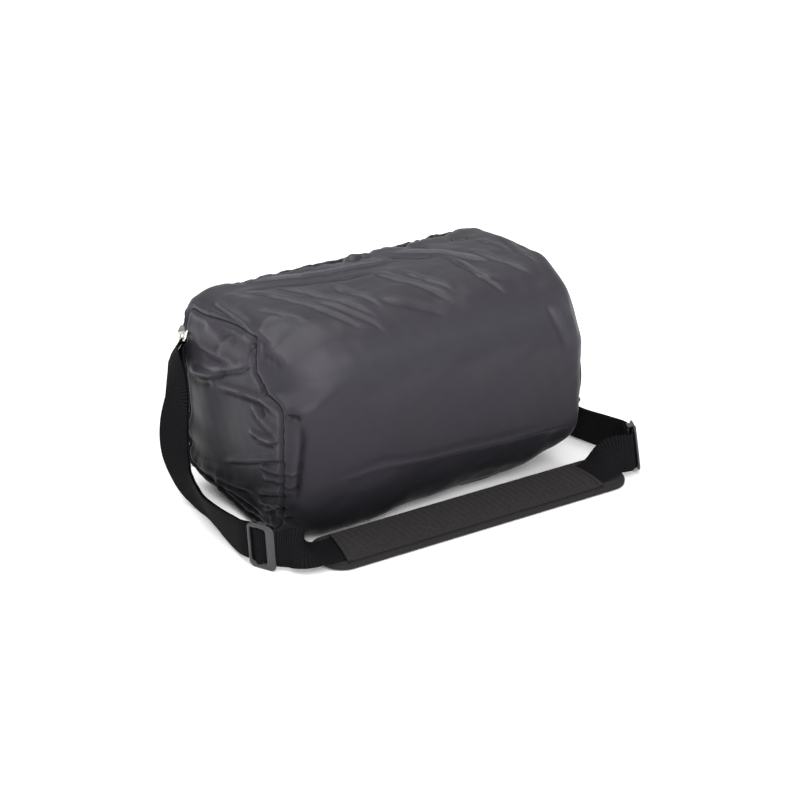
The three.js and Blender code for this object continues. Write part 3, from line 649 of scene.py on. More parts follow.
def in_mouth(p):
    """whether a place on the roll lies inside the cover's open back"""
    x = np.abs(p[:, 0]) - (COVER["half"] - LIP - MOUTH_RADIUS)
    z = np.abs(p[:, 2] - MIDDLE[2]) - (MIDDLE[2] - LIP - MOUTH_RADIUS)
    inside = np.where((x > 0) & (z > 0), np.hypot(x, z) < MOUTH_RADIUS,
                      (x < MOUTH_RADIUS) & (z < MOUTH_RADIUS))
    return inside & (p[:, 1] > 96)


def nearest_on(points, line, step=2):
    """each point's distance from a closed line, and how far along it the nearest place is"""
    near = np.full(len(points), 1e9)
    index = np.zeros(len(points), int)
    for k in range(0, len(line), step):
        d = np.linalg.norm(points - line[k], axis=1)
        take = d < near
        near[take] = d[take]
        index[take] = k
    ahead = line[(index + 1) % len(line)] - line[index - 1]
    ahead /= np.linalg.norm(ahead, axis=1, keepdims=True)
    slide = np.clip(((points - line[index]) * ahead).sum(1), -2.5 * step, 2.5 * step)
    return np.sqrt(np.maximum(near ** 2 - slide ** 2, 0)), run_of(line)[index] + slide


def fold_field(points, normals, folds):
    """the height of folds, each with its kind, height, width and line on the cloth"""
    total = np.zeros(len(points))
    for kind, height, width, line in folds:
        line = np.asarray(line, float)
        run = run_of(line)
        near = np.full(len(points), 1e9)
        side, along = np.zeros(len(points)), np.zeros(len(points))
        for start, end, before, after in zip(line, line[1:], run, run[1:]):
            ab = (end - start) / (after - before)
            t = np.clip((points - start) @ ab, 0, after - before)
            off = points - start - t[:, None] * ab
            d = np.linalg.norm(off, axis=1)
            take = d < near
            near[take] = d[take]
            side[take] = np.sign((np.cross(ab, normals[take]) * off[take]).sum(1))
            along[take] = (before + t[take]) / run[-1]
        d = near / width
        if kind == "ridge":
            shape = np.exp(-d * d)
        elif kind == "crease":
            shape = -np.exp(-d * 1.2)
        else:
            shape = np.exp(-(d / 0.95) ** 2) - 0.8 * np.exp(-((d * side - 1.1) / 0.55) ** 2)
        total += height * shape * smooth(along / 0.25) * smooth((1 - along) / 0.25)
    return total


def mirrored(folds, points):
    """the same folds at the other end, lower and moved onto the surface there"""
    out = []
    for kind, height, width, line in folds:
        flipped = np.asarray(line, float) * (-1, 1, 1) + (0, 5, -7)
        on = [points[np.argmin(np.linalg.norm(points - place, axis=1))] for place in flipped]
        if min(np.linalg.norm(np.diff(on, axis=0), axis=1)) > 1:
            out.append((kind, 0.8 * height, width, on))
    return out


# each fold's kind, height, width and line on the cloth
TOP_FOLDS = [
    ("ridge", 3.6, 2.6, [(-137, 99, 221), (-112, 89, 222), (-72, 71, 224), (-16, 62, 225),
        (23, 55, 226), (51, 49, 227)]),
    ("crease", 2.2, 4, [(-127, 100, 220), (-101, 100, 221), (-62, 88, 222), (-25, 88, 222)]),
    ("crease", 2, 4, [(-148, 66, 225), (-88, 46, 227), (-36, 31, 229), (8, 23, 229)]),
    ("ridge", 3, 2.5, [(-70, 98, 221), (-27, 85, 223), (2, 66, 225), (29, 66, 225)]),
    ("ridge", 3.2, 2.6, [(37, 89, 222), (60, 72, 224), (86, 45, 228), (99, 12, 229),
        (119, -19, 229)]),
    ("crease", 2.4, 4, [(32, 70, 224), (53, 53, 226), (78, 33, 229)]),
    ("roll", 1.7, 5, [(-123, 61, 225), (-100, 27, 229), (-78, -24, 228), (-52, -61, 214)]),
    ("roll", 1.3, 4.5, [(-146, 69, 224), (-131, 24, 229), (-109, -26, 228), (-83, -59, 216),
        (-64, -69, 208)]),
    ("roll", 1.1, 4, [(-164, 18, 226), (-147, -21, 229), (-126, -50, 219)]),
    ("roll", 1.5, 5, [(-63, 27, 229), (-57, -9, 229), (-43, -45, 223)]),
    ("roll", 1.2, 5, [(-107, -3, 229), (-85, -36, 226), (-63, -61, 214), (-54, -73, 204)]),
    ("roll", 1.4, 6, [(-10, 33, 228), (5, -9, 229), (26, -42, 224), (39, -60, 215)]),
    ("roll", 1.2, 7, [(-47, -26, 228), (-24, -43, 224), (12, -62, 214), (30, -68, 208)]),
    ("roll", 1.2, 5, [(18, 20, 229), (29, -20, 229), (45, -48, 222)]),
    ("roll", 1.4, 5, [(84, 41, 228), (83, -6, 229), (90, -40, 225), (116, -52, 219)]),
    ("roll", 1.5, 4, [(84, 19, 229), (82, -34, 226), (96, -59, 216), (99, -68, 209)]),
    ("roll", 1.2, 5, [(112, 41, 228), (121, -6, 229), (133, -35, 226), (145, -54, 219)]),
    ("roll", 1, 4, [(141, 56, 227), (149, 22, 229), (142, -13, 229)]),
    ("roll", 1.3, 4, [(170, 52, 227), (156, -4, 229), (158, -45, 223)]),
    ("crease", 3.2, 3, [(124, 82, 225), (129, 72, 226), (141, 66, 227)]),
    ("crease", 2.4, 3, [(67, 82, 223), (78, 74, 224), (89, 67, 225)]),
    ("ridge", 2, 4, [(2, 100, 221), (20, 100, 220), (35, 99, 221)]),
    ("crease", 2.2, 3, [(-1, 82, 223), (20, 95, 222), (23, 80, 223)]),
    ("crease", 1.2, 3, [(86, 92, 223), (84, 78, 224), (92, 76, 224)]),
    ("ridge", 1.2, 5, [(163, -65, 209), (160, -84, 187), (162, -95, 156), (166, -95, 116)]),
    ("roll", 1.2, 6, [(139, -77, 200), (147, -91, 175), (155, -95, 147)]),
    ("roll", 1.2, 5, [(148, -95, 61), (92, -96, 64), (28, -96, 66), (-23, -95, 68), (-78, -96, 75),
        (-126, -96, 72), (-152, -95, 67)]),
]

END_FOLDS = [
    ("crease", 5, 5, [(-182, -12, 201), (-181, -21, 201)]),
    ("ridge", 1.2, 4, [(-180, 5, 205), (-178, -12, 209), (-177, -25, 204)]),
    ("roll", 1.6, 4, [(-172, 79, 217), (-174, 32, 217), (-175, -4, 216)]),
    ("roll", 1.4, 5, [(-175, -12, 215), (-171, -28, 208), (-171, -37, 199)]),
    ("roll", 1.5, 5, [(-177, -27, 202), (-170, -46, 197), (-167, -60, 190)]),
    ("roll", 2.2, 5, [(-190, 78, 152), (-188, 37, 160), (-187, 2, 174), (-184, -25, 190)]),
    ("roll", 2, 4.5, [(-189, 107, 135), (-190, 67, 145), (-188, 40, 156), (-187, 29, 165)]),
    ("crease", 1.6, 4, [(-189, 105, 126), (-190, 84, 128), (-190, 51, 138)]),
    ("roll", 2.1, 4.5, [(-190, 51, 138), (-188, 2, 147), (-185, -38, 151), (-185, -72, 146)]),
    ("roll", 1.5, 6, [(-182, 16, 199), (-186, 31, 187), (-188, 44, 171)]),
    ("ridge", 1.2, 6, [(-185, 74, 197), (-186, 44, 192), (-187, 33, 181)]),
    ("roll", 1.3, 5, [(-189, 99, 172), (-190, 67, 173), (-187, 37, 172), (-186, 2, 177)]),
    ("crease", 2, 5, [(-184, -35, 166), (-185, -44, 156)]),
    ("crease", 1.4, 4, [(-186, -35, 145), (-187, -46, 134)]),
    ("crease", 4, 2.4, [(-184, -77, 147), (-180, -85, 147), (-171, -91, 145)]),
    ("crease", 3.4, 2.6, [(-173, -90, 145), (-171, -91, 123), (-173, -90, 100), (-176, -89, 76),
        (-179, -86, 52)]),
    ("ridge", 1.3, 3.5, [(-177, -87, 141), (-176, -88, 118), (-179, -86, 93), (-181, -84, 69)]),
    ("roll", 1.7, 4, [(-188, -13, 110), (-187, -38, 111), (-185, -67, 113)]),
    ("roll", 1.2, 4, [(-188, -24, 106), (-186, -49, 110), (-184, -76, 122)]),
    ("roll", 1.9, 3.6, [(-188, 42, 56), (-188, -14, 76), (-186, -52, 92), (-182, -82, 102)]),
    ("roll", 1.5, 3.4, [(-187, -30, 78), (-186, -55, 79), (-184, -76, 84)]),
    ("roll", 1.9, 3.4, [(-187, -37, 66), (-186, -60, 72), (-184, -77, 75)]),
    ("roll", 1.2, 3, [(-184, -75, 86), (-181, -84, 86), (-175, -89, 88)]),
    ("roll", 1.4, 3, [(-184, -75, 73), (-182, -83, 71), (-176, -88, 76)]),
    ("roll", 1.5, 3.4, [(-187, -24, 46), (-186, -50, 54), (-184, -74, 63), (-178, -87, 66)]),
    ("roll", 1.3, 3.2, [(-186, -26, 35), (-186, -49, 42), (-185, -71, 51)]),
    ("roll", 1.4, 3.2, [(-186, -33, 29), (-186, -52, 39), (-185, -72, 49), (-180, -85, 53)]),
    ("roll", 1.2, 3, [(-185, -59, 36), (-183, -79, 41), (-178, -86, 43)]),
    ("roll", 1.6, 5, [(-189, 94, 31), (-188, 58, 34), (-186, 20, 37), (-187, -22, 46)]),
    ("roll", 1.4, 4, [(-188, 79, 26), (-186, 35, 28), (-186, -5, 28), (-185, -40, 24)]),
    ("roll", 1.2, 6, [(-187, -17, 143), (-187, -32, 133), (-186, -53, 126), (-185, -70, 123)]),
]


END_ROWS = 68
# each end's inset and reach at the back, top, front and bottom, and its extra inset
COVER_ENDS = (((9, 20, 21, 12), (9, 24, 34, 13), 32), ((9, 17, 23, 26), (9, 15, 19, 34), 7))


def hem_gathers(points, mouth):
    """the cloth's waves that run out from the elastic, shorter and lower with distance"""
    near, at = nearest_on(points, mouth)
    fine, mid, broad = hash_noise(3), hash_noise(5), hash_noise(8)
    return (
        2.6 * fine(at / 8.0) * np.exp(-near / 10)
        + 4.0 * mid(at / 17.0 + near / 200) * np.exp(-near / 22)
        + 2.2 * broad(at / 34.0 - near / 160) * np.exp(-near / 45)
    ) * (near < 150)


def seam_puckers(points, ring, sign):
    """the sunk line of one end's seam, its raised edge and the puckers beside it"""
    d, s = np.full(len(points), 1e9), np.zeros(len(points))
    close = np.sign(points[:, 0]) == sign
    d[close], s[close] = nearest_on(points[close], ring)
    pucker, deep = hash_noise(21 + sign), hash_noise(31 + sign)
    tight = 0.3 + 0.7 * smooth((150 - points[:, 2]) / 30)
    waves = pucker(s / 6.5) * 1.1 * np.exp(-d / 9) + deep(s / 17) * 1.2 * np.exp(-(d / 20) ** 2)
    return -1.8 * np.exp(-(d / 2.2) ** 2) + 0.9 * np.exp(-((d - 5) / 3) ** 2) + tight * waves


def seam_thread(end, sewn):
    """the end seam's thread, round all but its stretch inside the hem"""
    sewn = np.roll(sewn, -int(np.argmax(sewn[:, 1])), 0)
    sewn = resample(sewn[sewn[:, 1] < 108], 420)
    make(f"cover_seam_{end}", *tube(sewn, 0.5, 8), "thread", "cover")


def make_cover():
    stations = roll(COVER, 300, 60, 185, 22, END_ROWS, COVER_ENDS, 4, bulge=(1.0, 1.5))
    rows, columns = stations.shape[:2]
    points, faces = rod(stations)
    open_back = in_mouth(np.array([points[list(f)].mean(0) for f in faces]))
    stations, points = settle(stations), settle(points)
    normals = outward_normals(points, faces)

    loop = rounded_loop(COVER["half"] - LIP, LIP, COVER["z_high"] - LIP, MOUTH_RADIUS, 700)
    mouth = settle(np.column_stack([loop[:, 0], cover_back(loop[:, 1]), loop[:, 1]]))
    gather = hem_gathers(points, mouth)
    seams = (("left", END_ROWS - 1, -1), ("right", rows - END_ROWS, 1))
    seam = sum(seam_puckers(points, stations[row], sign) for _, row, sign in seams)
    end_folds = [*END_FOLDS, *mirrored(END_FOLDS, points)]
    top_relief, end_relief = (fold_field(points, normals, f) for f in (TOP_FOLDS, end_folds))
    calm = 1 - 0.85 * np.abs(normals[:, 0])
    move = gather + seam + 1.25 * top_relief + 1.6 * end_relief - under_turn(points, normals)
    move += calm * (0.8 * field_noise(points, 70, 4) + 0.3 * field_noise(points, 28, 6))
    # the fold heights that paint shade into creases and seams, and highlights onto ridges, in the
    # cloth's colour
    fold_shade_and_highlight = 0.42 * top_relief + 0.38 * end_relief + gather / 9.0 + seam / 6.0
    points = points + normals * move[:, None]
    for end, row, _ in seams:
        at = slice(row * columns, (row + 1) * columns)
        seam_thread(end, points[at] + normals[at] * 0.2)

    on_floor = 0.35 + 0.3 * np.maximum(points[:, 2], 0)
    points[:, 2] = np.where(points[:, 2] < 2.5, on_floor, points[:, 2])
    faces = [f for f, opened in zip(faces, open_back) if not opened]
    used = np.unique(np.concatenate([np.array(f) for f in faces]))
    index = np.full(len(points), -1)
    index[used] = np.arange(len(used))
    faces = [index[list(f)] for f in faces]
    cover = make("rain_cover_cloth", points[used], faces, "cover", "cover", nodes=["rain_cover"])
    # kept on the mesh for the painted fold shade and highlights in the cover's colour
    shade = cover.data.attributes.new("fold_shade_and_highlight", "FLOAT", "POINT")
    shade.data.foreach_set("value", fold_shade_and_highlight[used].astype(np.float32))
    make_hem(mouth)


def make_hem(mouth):
    """the gathered channel that holds the elastic, round the cover's mouth"""
    n = len(mouth)
    squeeze, wide, lift = hash_noise(41), hash_noise(43), hash_noise(47)
    c, s = circle(14)
    flat = np.sign(c) * np.abs(c) ** 0.8
    rings = []
    for i, at in enumerate(mouth):
        along = unit(mouth[(i + 1) % n] - mouth[i - 1])
        inward = (-at[0], 0, MIDDLE[2] - at[2])
        inward = unit(inward - along * along.dot(inward))
        out = np.cross(along, inward)
        if out[1] < 0:
            out = -out
        blend = smooth(i / 30) * smooth((n - i) / 30)
        run = i * 1.6
        half_wide = 5.0 + blend * (0.8 * wide(run / 5.0) + 0.5 * squeeze(run / 13))
        half_high = 2.3 + blend * 1.1 * squeeze(run / 4.2)
        centre = at + inward * (1.2 + blend * 1.1 * lift(run / 6.5))
        centre = centre + out * (1.4 + blend * 0.9 * lift(run / 9 + 50))
        rings.append(centre + half_wide * np.outer(flat, inward) + half_high * np.outer(s, out))
    return make("rain_cover_hem", np.concatenate(rings), grid_faces(n, 14, True), "cover", "cover",
                nodes=["rain_cover_elastic"])


# ---------- the bag under the cover ----------
BAG_ENDS = (((9, 28, 40, 24), (9, 20, 28, 18), 30), ((9, 25, 33, 32), (9, 19, 25, 38), 9))


def make_bag():
    points, faces = rod(roll(BAG, 120, 26, 60, 6, 8, BAG_ENDS, 3))
    x, y, z = np.array([points[list(f)].mean(0) for f in faces]).T
    in_lid = (np.abs(x) < 150) & (y > -45) & (y < 86) & (z > 188)
    in_zip = in_lid & ((np.abs(x) > 143) | (y < -38))
    points = settle(points)
    normals = outward_normals(points, faces)
    points -= normals * (1.15 * under_turn(points, normals))[:, None]
    points[:, 1] += np.where(points[:, 1] > 117, field_noise(points, 60, 12) * 0.3, 0)
    for name, node, keep, flat, share in (
        ("bag_shell", "bag_body", ~in_lid, (0.75, 0.50), 0.88),
        ("lid_panel", "bag_lid", in_lid & ~in_zip, (0.29, 0.13), 1.0),
    ):
        piece = make(name, points, [f for f, a in zip(faces, keep) if a], "bag", "bag_fabric",
                     nodes=[node])
        edit(piece.data, lambda bm: bmesh.ops.delete(
            bm, geom=[v for v in bm.verts if not v.link_faces], context="VERTS"))

    line = [np.array([x, BAG["y_back"] + 1.0, z]) for x, z in rounded_loop(150, 24, 202, 24, 420)]
    make("back_piping", *tube(line, 2.1, 10, loop=True), "webbing", "webbing")
    stitches("back_panel_stitches", [p - 0.2 * BACK - unit(p - [0, 119, 113]) * 5 for p in line],
             BACK, 4.0)


def stitches(name, line, up, pitch, body="bag", length=2.6, width=0.75, high=0.35, closed=True):
    """small raised stitches along a line that lies on a surface"""
    line = np.array([*line, line[0]] if closed else line)
    run = run_of(line)
    c, s = circle(6)
    parts = []
    for d in np.arange(pitch / 2, run[-1] - pitch / 3, pitch):
        at = point_on(line, run, d)
        along = unit(point_on(line, run, d + 0.5) - at)
        across = np.cross(up, along)
        parts.append(rod([
            at + along * t * length + k * (np.outer(c, across) * width / 2 + np.outer(s, up) * high)
            for t, k in ((-0.5, 0.35), (-0.3, 0.9), (0.3, 0.9), (0.5, 0.35))
        ]))
    make(name, *merge(*parts), "thread", "webbing", body)


# ---------- the shoulder strap ----------
HOOK_UP = unit(RING_HANG - EYE)
EYE_BAR = np.array([-0.25, -0.78, 0.5])
EYE_BAR = unit(EYE_BAR - HOOK_UP * EYE_BAR.dot(HOOK_UP))
RING_IN = unit(RING_BAR - RING_HANG)
RING_ACROSS = unit(np.cross(RING_IN, BACK))
HOOK_SIDE = unit(np.cross(HOOK_UP, RING_ACROSS))
HOOK_ACROSS = np.cross(HOOK_SIDE, HOOK_UP)
PAD_UP = np.array([0, -math.sin(rad(PAD_TILT)), math.cos(rad(PAD_TILT))])
PAD_BACK = np.array([0, math.cos(rad(PAD_TILT)), math.sin(rad(PAD_TILT))])
# each adjuster's place, the webbing's direction through it, and the direction across the webbing
GLIDES = {
    "left": (np.array([-222, -97, 25.8]), unit([0.4, -0.917, 0]), unit([-0.1, 0, 1])),
    "right": (np.array([226, -114, 26.4]), unit([-0.5, -0.858, 0.12]), unit([-0.09, 0.1, 1])),
}
GLIDE_REACH = (12, 16)      # the layers part this far beyond an adjuster's bar, over this length
LAYER_LIFT, BAR_LIFT, HOOK_LIFT = 1.3, 2.6, 3.3


def pad_point(x, back, up):
    return np.array([x, PAD_FRONT, PAD_Z]) + PAD_BACK * back + PAD_UP * up


def pad_web(x, lift=0.0):
    """the webbing's middle where it lies on the pad's base"""
    return pad_point(x, PAD_WIDE / 2, PAD_BASE + 1.6) + lift * UP


def strap_guide(end):
    """points of the webbing's middle with the direction across it, from the hook to the pad"""
    at, along, across = GLIDES[end]
    m = 1 if end == "left" else -1
    top = [
        (EYE, EYE_BAR), (EYE - 9 * HOOK_UP, EYE_BAR), ((-204, 104.5, 137), (-0.1, -0.97, 0.22)),
        ((-212, 90, 113), (0.07, -1, 0.02)), ((-216, 91, 78), (0.28, -0.95, 0.03)),
        ((-217, 88.5, 52), (0.24, -0.93, 0.26)),
    ]
    top = [(np.array(p) * (m, 1, 1), np.array(w) * (m, 1, 1)) for p, w in top]
    if end == "left":
        low = [((-215, 77, 31), (0.05, -0.72, 0.7)), ((-215, 56, 22), (-0.18, -0.3, 0.94)),
               ((-218, 32, 20.4), (-0.33, -0.08, 0.94)), ((-223, 8, 20.4), (-0.38, -0.06, 0.92)),
               ((-228, -27, 21.4), (-0.26, 0, 0.95)), ((-231, -54, 23.4), (-0.15, 0, 1))]
        entry = [((-201, -117, 24), (0.06, 0.3, 1)), ((-190, -121.6, 19.4), (0.06, 0.75, 0.7)),
                 (pad_web(-177, 2.6), (0, 0.97, 0.24)), (pad_web(-166, 0.3), PAD_BACK)]
    else:
        low = [((219, 76, 32), (0.05, -0.72, 0.7)), ((222, 54, 23.4), (0.1, -0.3, 0.94)),
               ((224, 30, 21.4), (0.06, -0.08, 0.99)), ((224, 0, 21.4), (-0.05, 0, 1)),
               ((226, -34, 22), (-0.12, 0, 1)), ((234, -66, 22.4), (-0.1, 0.1, 1))]
        entry = [((212, -133, 28.6), (-0.02, 0.16, 1)), ((203, -130, 28.6), (0.01, 0.32, 0.95)),
                 ((196, -125.6, 27), (0, 0.56, 0.83)), ((187, -123, 22.6), (0, 0.82, 0.57)),
                 (pad_web(177, 3.4), (0, 0.96, 0.29)), (pad_web(167, 0.4), PAD_BACK)]
    through = [(at + along * t, across) for t in (-26, -18, -6, 6, 16)]
    inside = [(pad_web(-m * x), PAD_BACK) for x in (150, 110, 60)]
    return [*top, *low, *through, *entry, *inside]


def strap_stations(end, step=3.4, dense=1201):
    """evenly spaced places on the webbing: point, across, outward, distance and direction"""
    guide = strap_guide(end)
    line = curve_points([p for p, _ in guide], dense)
    edge = curve_points([unit(w) for _, w in guide], dense, tension=0.5)
    run = run_of(line)
    sign = 1 if end == "left" else -1
    out = []
    for d in np.linspace(0, run[-1], round(run[-1] / step) + 1):
        w = point_on(edge, run, d)
        i = max(min(int(np.searchsorted(run, d)), dense - 2), 1)
        along = unit(line[i + 1] - line[i - 1])
        w = unit(w - along * along.dot(w))
        out.append((point_on(line, run, d), w, sign * np.cross(along, w), d, along))
    return out


def strap_half(end):
    """one end's two layers, from the inner layer's end round the hook to the pad"""
    stations = strap_stations(end)
    off = [np.linalg.norm(s[0] - GLIDES[end][0]) for s in stations]
    nearest = stations[int(np.argmin(off))][3]
    past, over = GLIDE_REACH
    outer, inner = [], []
    for p, w, out, d, _ in stations:
        beyond = d - nearest
        lift = (LAYER_LIFT + (HOOK_LIFT - LAYER_LIFT) * (1 - smooth(d / 30))
                + (BAR_LIFT - LAYER_LIFT) * (1 - smooth((abs(beyond) - past) / over)))
        single = 1 - smooth((beyond - past) / over)
        swell = 6.0 * math.exp(-((beyond + 2.8) / 5.0) ** 2)
        outer.append((p + out * (lift * single + swell), w, out))
        if beyond < 8:
            inner.append((p - out * lift, w, -out))
    p0, w0, out0, _, along0 = stations[0]
    turn = []
    for a in range(-75, 76, 25):
        away = -along0 * math.cos(rad(a)) + out0 * math.sin(rad(a))
        turn.append((p0 + away * HOOK_LIFT, w0, away))
    return inner[::-1] + turn + outer


def strip(half):
    """a strip's section, both in halves of its width and thickness, from its upper side"""
    return [*half, *((u, -v) for u, v in half[-2:0:-1])]


def make_strap():
    path = strap_half("left") + strap_half("right")[::-1]
    half = WEB_WIDE / 2
    section = strip([(-1, 0), (-0.985, 0.55), (-0.94, 0.9), (-0.6, 1), (-0.2, 1), (0.2, 1),
                     (0.6, 1), (0.94, 0.9), (0.985, 0.55), (1, 0)])
    run = run_of(np.array([p for p, _, _ in path]))
    rings = [[p + w * u * half + out * v * WEB_THICK / 2 for u, v in section] for p, w, out in path]
    uvs = [(d * MM, u * half * MM) for d in run for u, _ in section]
    uvs += [(0, 0), (run[-1] * MM, 0)]
    webbing = make("strap_webbing", *rod(rings), "webbing", "webbing", nodes=["shoulder_webbing"],
                   uvs=uvs)


# ---------- the shoulder pad ----------
def from_end(x):
    return min(x - PAD_LEFT, PAD_RIGHT - x)


def pad_half_width(x):
    inset = PAD_NOSE - min(from_end(x), PAD_NOSE)
    return PAD_WIDE / 2 - PAD_NOSE + math.sqrt(max(PAD_NOSE ** 2 - inset ** 2, 0.0))


def pad_edge(x, v):
    """how far a place on the pad's base is from its edge"""
    return max(min(pad_half_width(x) - abs(v), from_end(x)), 0.0)


def pad_top(x, v):
    edge = pad_edge(x, v)
    crown = 2.5 * math.sqrt(min(edge / 5.0, 1.0))
    return 2.4 + crown + 0.15 * math.sin(x / 23) * smooth(edge / 8)


def pad_bottom(x, v):
    return 1.3 * (1 - math.sqrt(min(pad_edge(x, v) / 2.5, 1.0)))


def face_high(v):
    """the height of the ribbed face over the pad's base, at a distance from its middle line"""
    return 2.0 + 3.4 * max(math.cos(math.pi / 2 * (abs(v) / FACE_HALF)), 0) ** 0.55


def pad_place(x, v, up):
    return pad_point(x, PAD_WIDE / 2 + v, up)


def make_pad():
    nose = PAD_NOSE * (1 - np.cos(np.linspace(0, math.pi / 2, 16)))
    straight = np.linspace(PAD_LEFT + PAD_NOSE, PAD_RIGHT - PAD_NOSE, 90)
    xs = np.unique(np.concatenate([PAD_LEFT + nose, straight, PAD_RIGHT - nose]).round(3))
    vs = np.sin(np.linspace(-math.pi / 2, math.pi / 2, 33))
    places = [(x, v * pad_half_width(x)) for x in xs for v in vs]
    top, bottom = ([pad_place(x, v, high(x, v)) for x, v in places]
                   for high in (pad_top, pad_bottom))
    base = make("pad_cushion", *slab(top, bottom, len(xs), len(vs)), "pad_edge", "padding", "pad",
                ["shoulder_pad_base"])

    us = np.linspace(0, 1, 260)
    hem = [20 + 1.6, 23.4, 24.6, FACE_HALF]
    vs = np.concatenate([-np.array(hem[::-1]), np.linspace(-20, 20, 21), hem])
    outer, inner = [], []
    for u in us:
        fade = smooth(u / 0.02) * smooth((1 - u) / 0.02)
        for v in vs:
            slant = FACE_SLANT * v / (2 * FACE_HALF)
            x = FACE_LEFT + slant + (FACE_RIGHT - FACE_LEFT - 2 * slant) * u
            rib = RIB_HIGH * math.sin(2 * math.pi * (x + 0.12 * v) / RIB_PITCH)
            rib *= fade * smooth((RIB_HALF - abs(v)) / 2.5)
            groove = -0.5 * math.exp(-((abs(v) - 20.8) / 0.8) ** 2)
            outer.append(pad_place(x, v, PAD_BASE - 0.05 + face_high(v) + rib + groove))
            inner.append(pad_place(x, v, PAD_BASE + 0.1 + (2.55 if abs(v) < 21.5 else 0.0)))
    face = make("pad_panel", *slab(outer, inner, len(us), len(vs)), "pad_face", "padding", "pad",
                ["shoulder_pad_face"])
    face.data.materials.append(MAT["pad_edge"])
    across = (np.array([v.co[:] for v in face.data.vertices]) / MM
              - pad_place(0, 0, 0)) @ PAD_BACK
    for poly in face.data.polygons:
        poly.material_index = int(np.abs(across[list(poly.vertices)]).mean() > 20.6)

    inset = 4.6
    xs = [x for x in xs if from_end(x) > inset]
    rim = [(x, sign * max(pad_half_width(x) - inset, 0)) for sign, side in ((-1, xs), (1, xs[::-1]))
           for x in side]
    line = [pad_place(x, v, pad_top(x, v) + 0.1) for x, v in rim]
    stitches("pad_edge_stitches", line, PAD_UP, 3.9, "pad", length=2.5, width=0.8, high=0.3)
    for end, middle, sign in (("left", FACE_LEFT, 1), ("right", FACE_RIGHT, -1)):
        face_hem(end, middle, sign)


def face_hem(end, middle, sign):
    """the folded and sewn hem where the webbing enters the pad's face"""
    def at(v, x, up):
        slant = FACE_SLANT * v / (2 * FACE_HALF)
        return pad_place(middle + sign * (slant + x), v, PAD_BASE + face_high(v) + up)

    c, s = circle(12)
    section = np.outer(c * 3.2, ACROSS) + np.outer(s * 0.8, PAD_UP)
    rings = [at(v, 2.0, -0.1) + section for v in np.linspace(-FACE_HALF, FACE_HALF, 40)]
    make(f"pad_hem_{end}", *rod(rings), "pad_edge", "padding", "pad")
    stitches(f"pad_hem_stitches_{end}", [at(v, 3.6, 0.65) for v in np.linspace(-21, 21, 30)],
             PAD_UP, 3.4, "pad", closed=False)


# ---------- adjusters ----------
def ring_plate(outer, inner, low, high, soft):
    """a frame between two loops of points, with rounded edges"""
    profile = [(0.5 - 0.5 * math.cos(a), max(math.sin(a), 0) ** soft)
               for a in np.linspace(0, math.pi, 9)]
    mid, half = (low + high) / 2, (high - low) / 2
    rows = [(t, mid + half * k) for t, k in profile]
    rows += [(t, mid - half * k) for t, k in profile[-2:0:-1]]
    rings = [np.column_stack([outer * (1 - t) + inner * t, np.full(len(outer), z)])
             for t, z in rows]
    return np.concatenate(rings), grid_faces(len(rows), len(outer), True)


def soft_rectangle(x0, x1, y0, y1, radius, count=96, bulge=0.0):
    quarter = np.linspace(0, 90, count // 4)
    xl, xr, yl, yr = x0 + radius, x1 - radius, y0 + radius, y1 - radius
    pts = [*arc(xr, yr, radius, quarter), *arc(xl, yr, radius, 90 + quarter),
           *arc(xl, yl, radius, 180 + quarter), *arc(xr, yl, radius, 270 + quarter)]
    pts = np.array(pts)
    right = pts[:, 0] > (x0 + x1) / 2
    pts[right, 0] += bulge * (1 - (pts[right, 1] / y1) ** 2)
    return pts


def cross_bar(half_long, half_wide, half_high, soft=0.7):
    """a rounded bar along local Y"""
    c, s = (np.sign(k) * np.abs(k) ** soft for k in circle(16))
    rings = []
    for t in np.linspace(0, 1, 8):
        k = 1.0 if 0 < t < 1 else 0.85
        y = np.full(16, half_long * (2 * t - 1))
        rings.append(np.column_stack([c * half_wide * k, y, s * half_high * k]))
    return rod(rings)


def make_glides():
    cheek = soft_rectangle(-5, 5, -1.7, 1.7, 1.0, 32)
    cheeks = [rod([np.column_stack([cheek[:, 0], cheek[:, 1] + y, np.full(len(cheek), z)])
                   for z in np.linspace(-1.2, 5.4, 6)]) for y in (-22.6, 22.6)]
    plate = ring_plate(soft_rectangle(-15.0, 16.0, -25, 25, 6.0, bulge=2.0),
                       soft_rectangle(-11.8, 6.2, -18.4, 20.3, 2.4), 3.8, 7.0, 0.55)
    points, faces = merge(plate, cross_bar(22.4, 2.0, 1.2), *cheeks)
    for end, (at, along, across) in GLIDES.items():
        sign = 1 if end == "left" else -1
        x_dir = sign * along
        y_dir = unit(across - x_dir * across.dot(x_dir))
        axes = np.array([x_dir, y_dir, np.cross(x_dir, y_dir)])
        make(f"adjuster_{end}_frame", at + points * (sign, 1, 1) @ axes, faces, "plastic",
             "plastic", f"adjuster_{end}", [f"tri_glide_{end}"])


# ---------- rings, tabs and swivel hooks ----------
def both_ends(name, part, material, slot, body, node):
    """a piece at the left end, and the same mirrored at the right"""
    points, faces = part
    for end, sign in (("left", 1), ("right", -1)):
        make(f"{name}_{end}", points * (sign, 1, 1), faces, material, slot, body.format(end),
             [node.format(end)])


def web_fold(bar_at, inward, width, long, wide, radius, spread, thick=1.6):
    """a webbing loop round a bar, with its two ends lying together"""
    def layer(side, places):
        return [(bar_at + inward * t * long + BACK * side * (radius + (spread - radius) * t),
                 BACK * side) for t in places]

    away = [-inward * math.cos(rad(a)) + BACK * math.sin(rad(a)) for a in np.linspace(-90, 90, 15)]
    stations = [*layer(-1, np.linspace(1, 0.15, 7)), *((bar_at + o * radius, o) for o in away),
                *layer(1, np.linspace(0.15, 1, 7))]
    section = strip([(-1, 0), (-0.97, 0.7), (-0.9, 1), (0, 1), (0.9, 1), (0.97, 0.7), (1, 0)])
    return rod([[p + width * u * wide / 2 + o * v * thick / 2 for u, v in section]
                for p, o in stations])


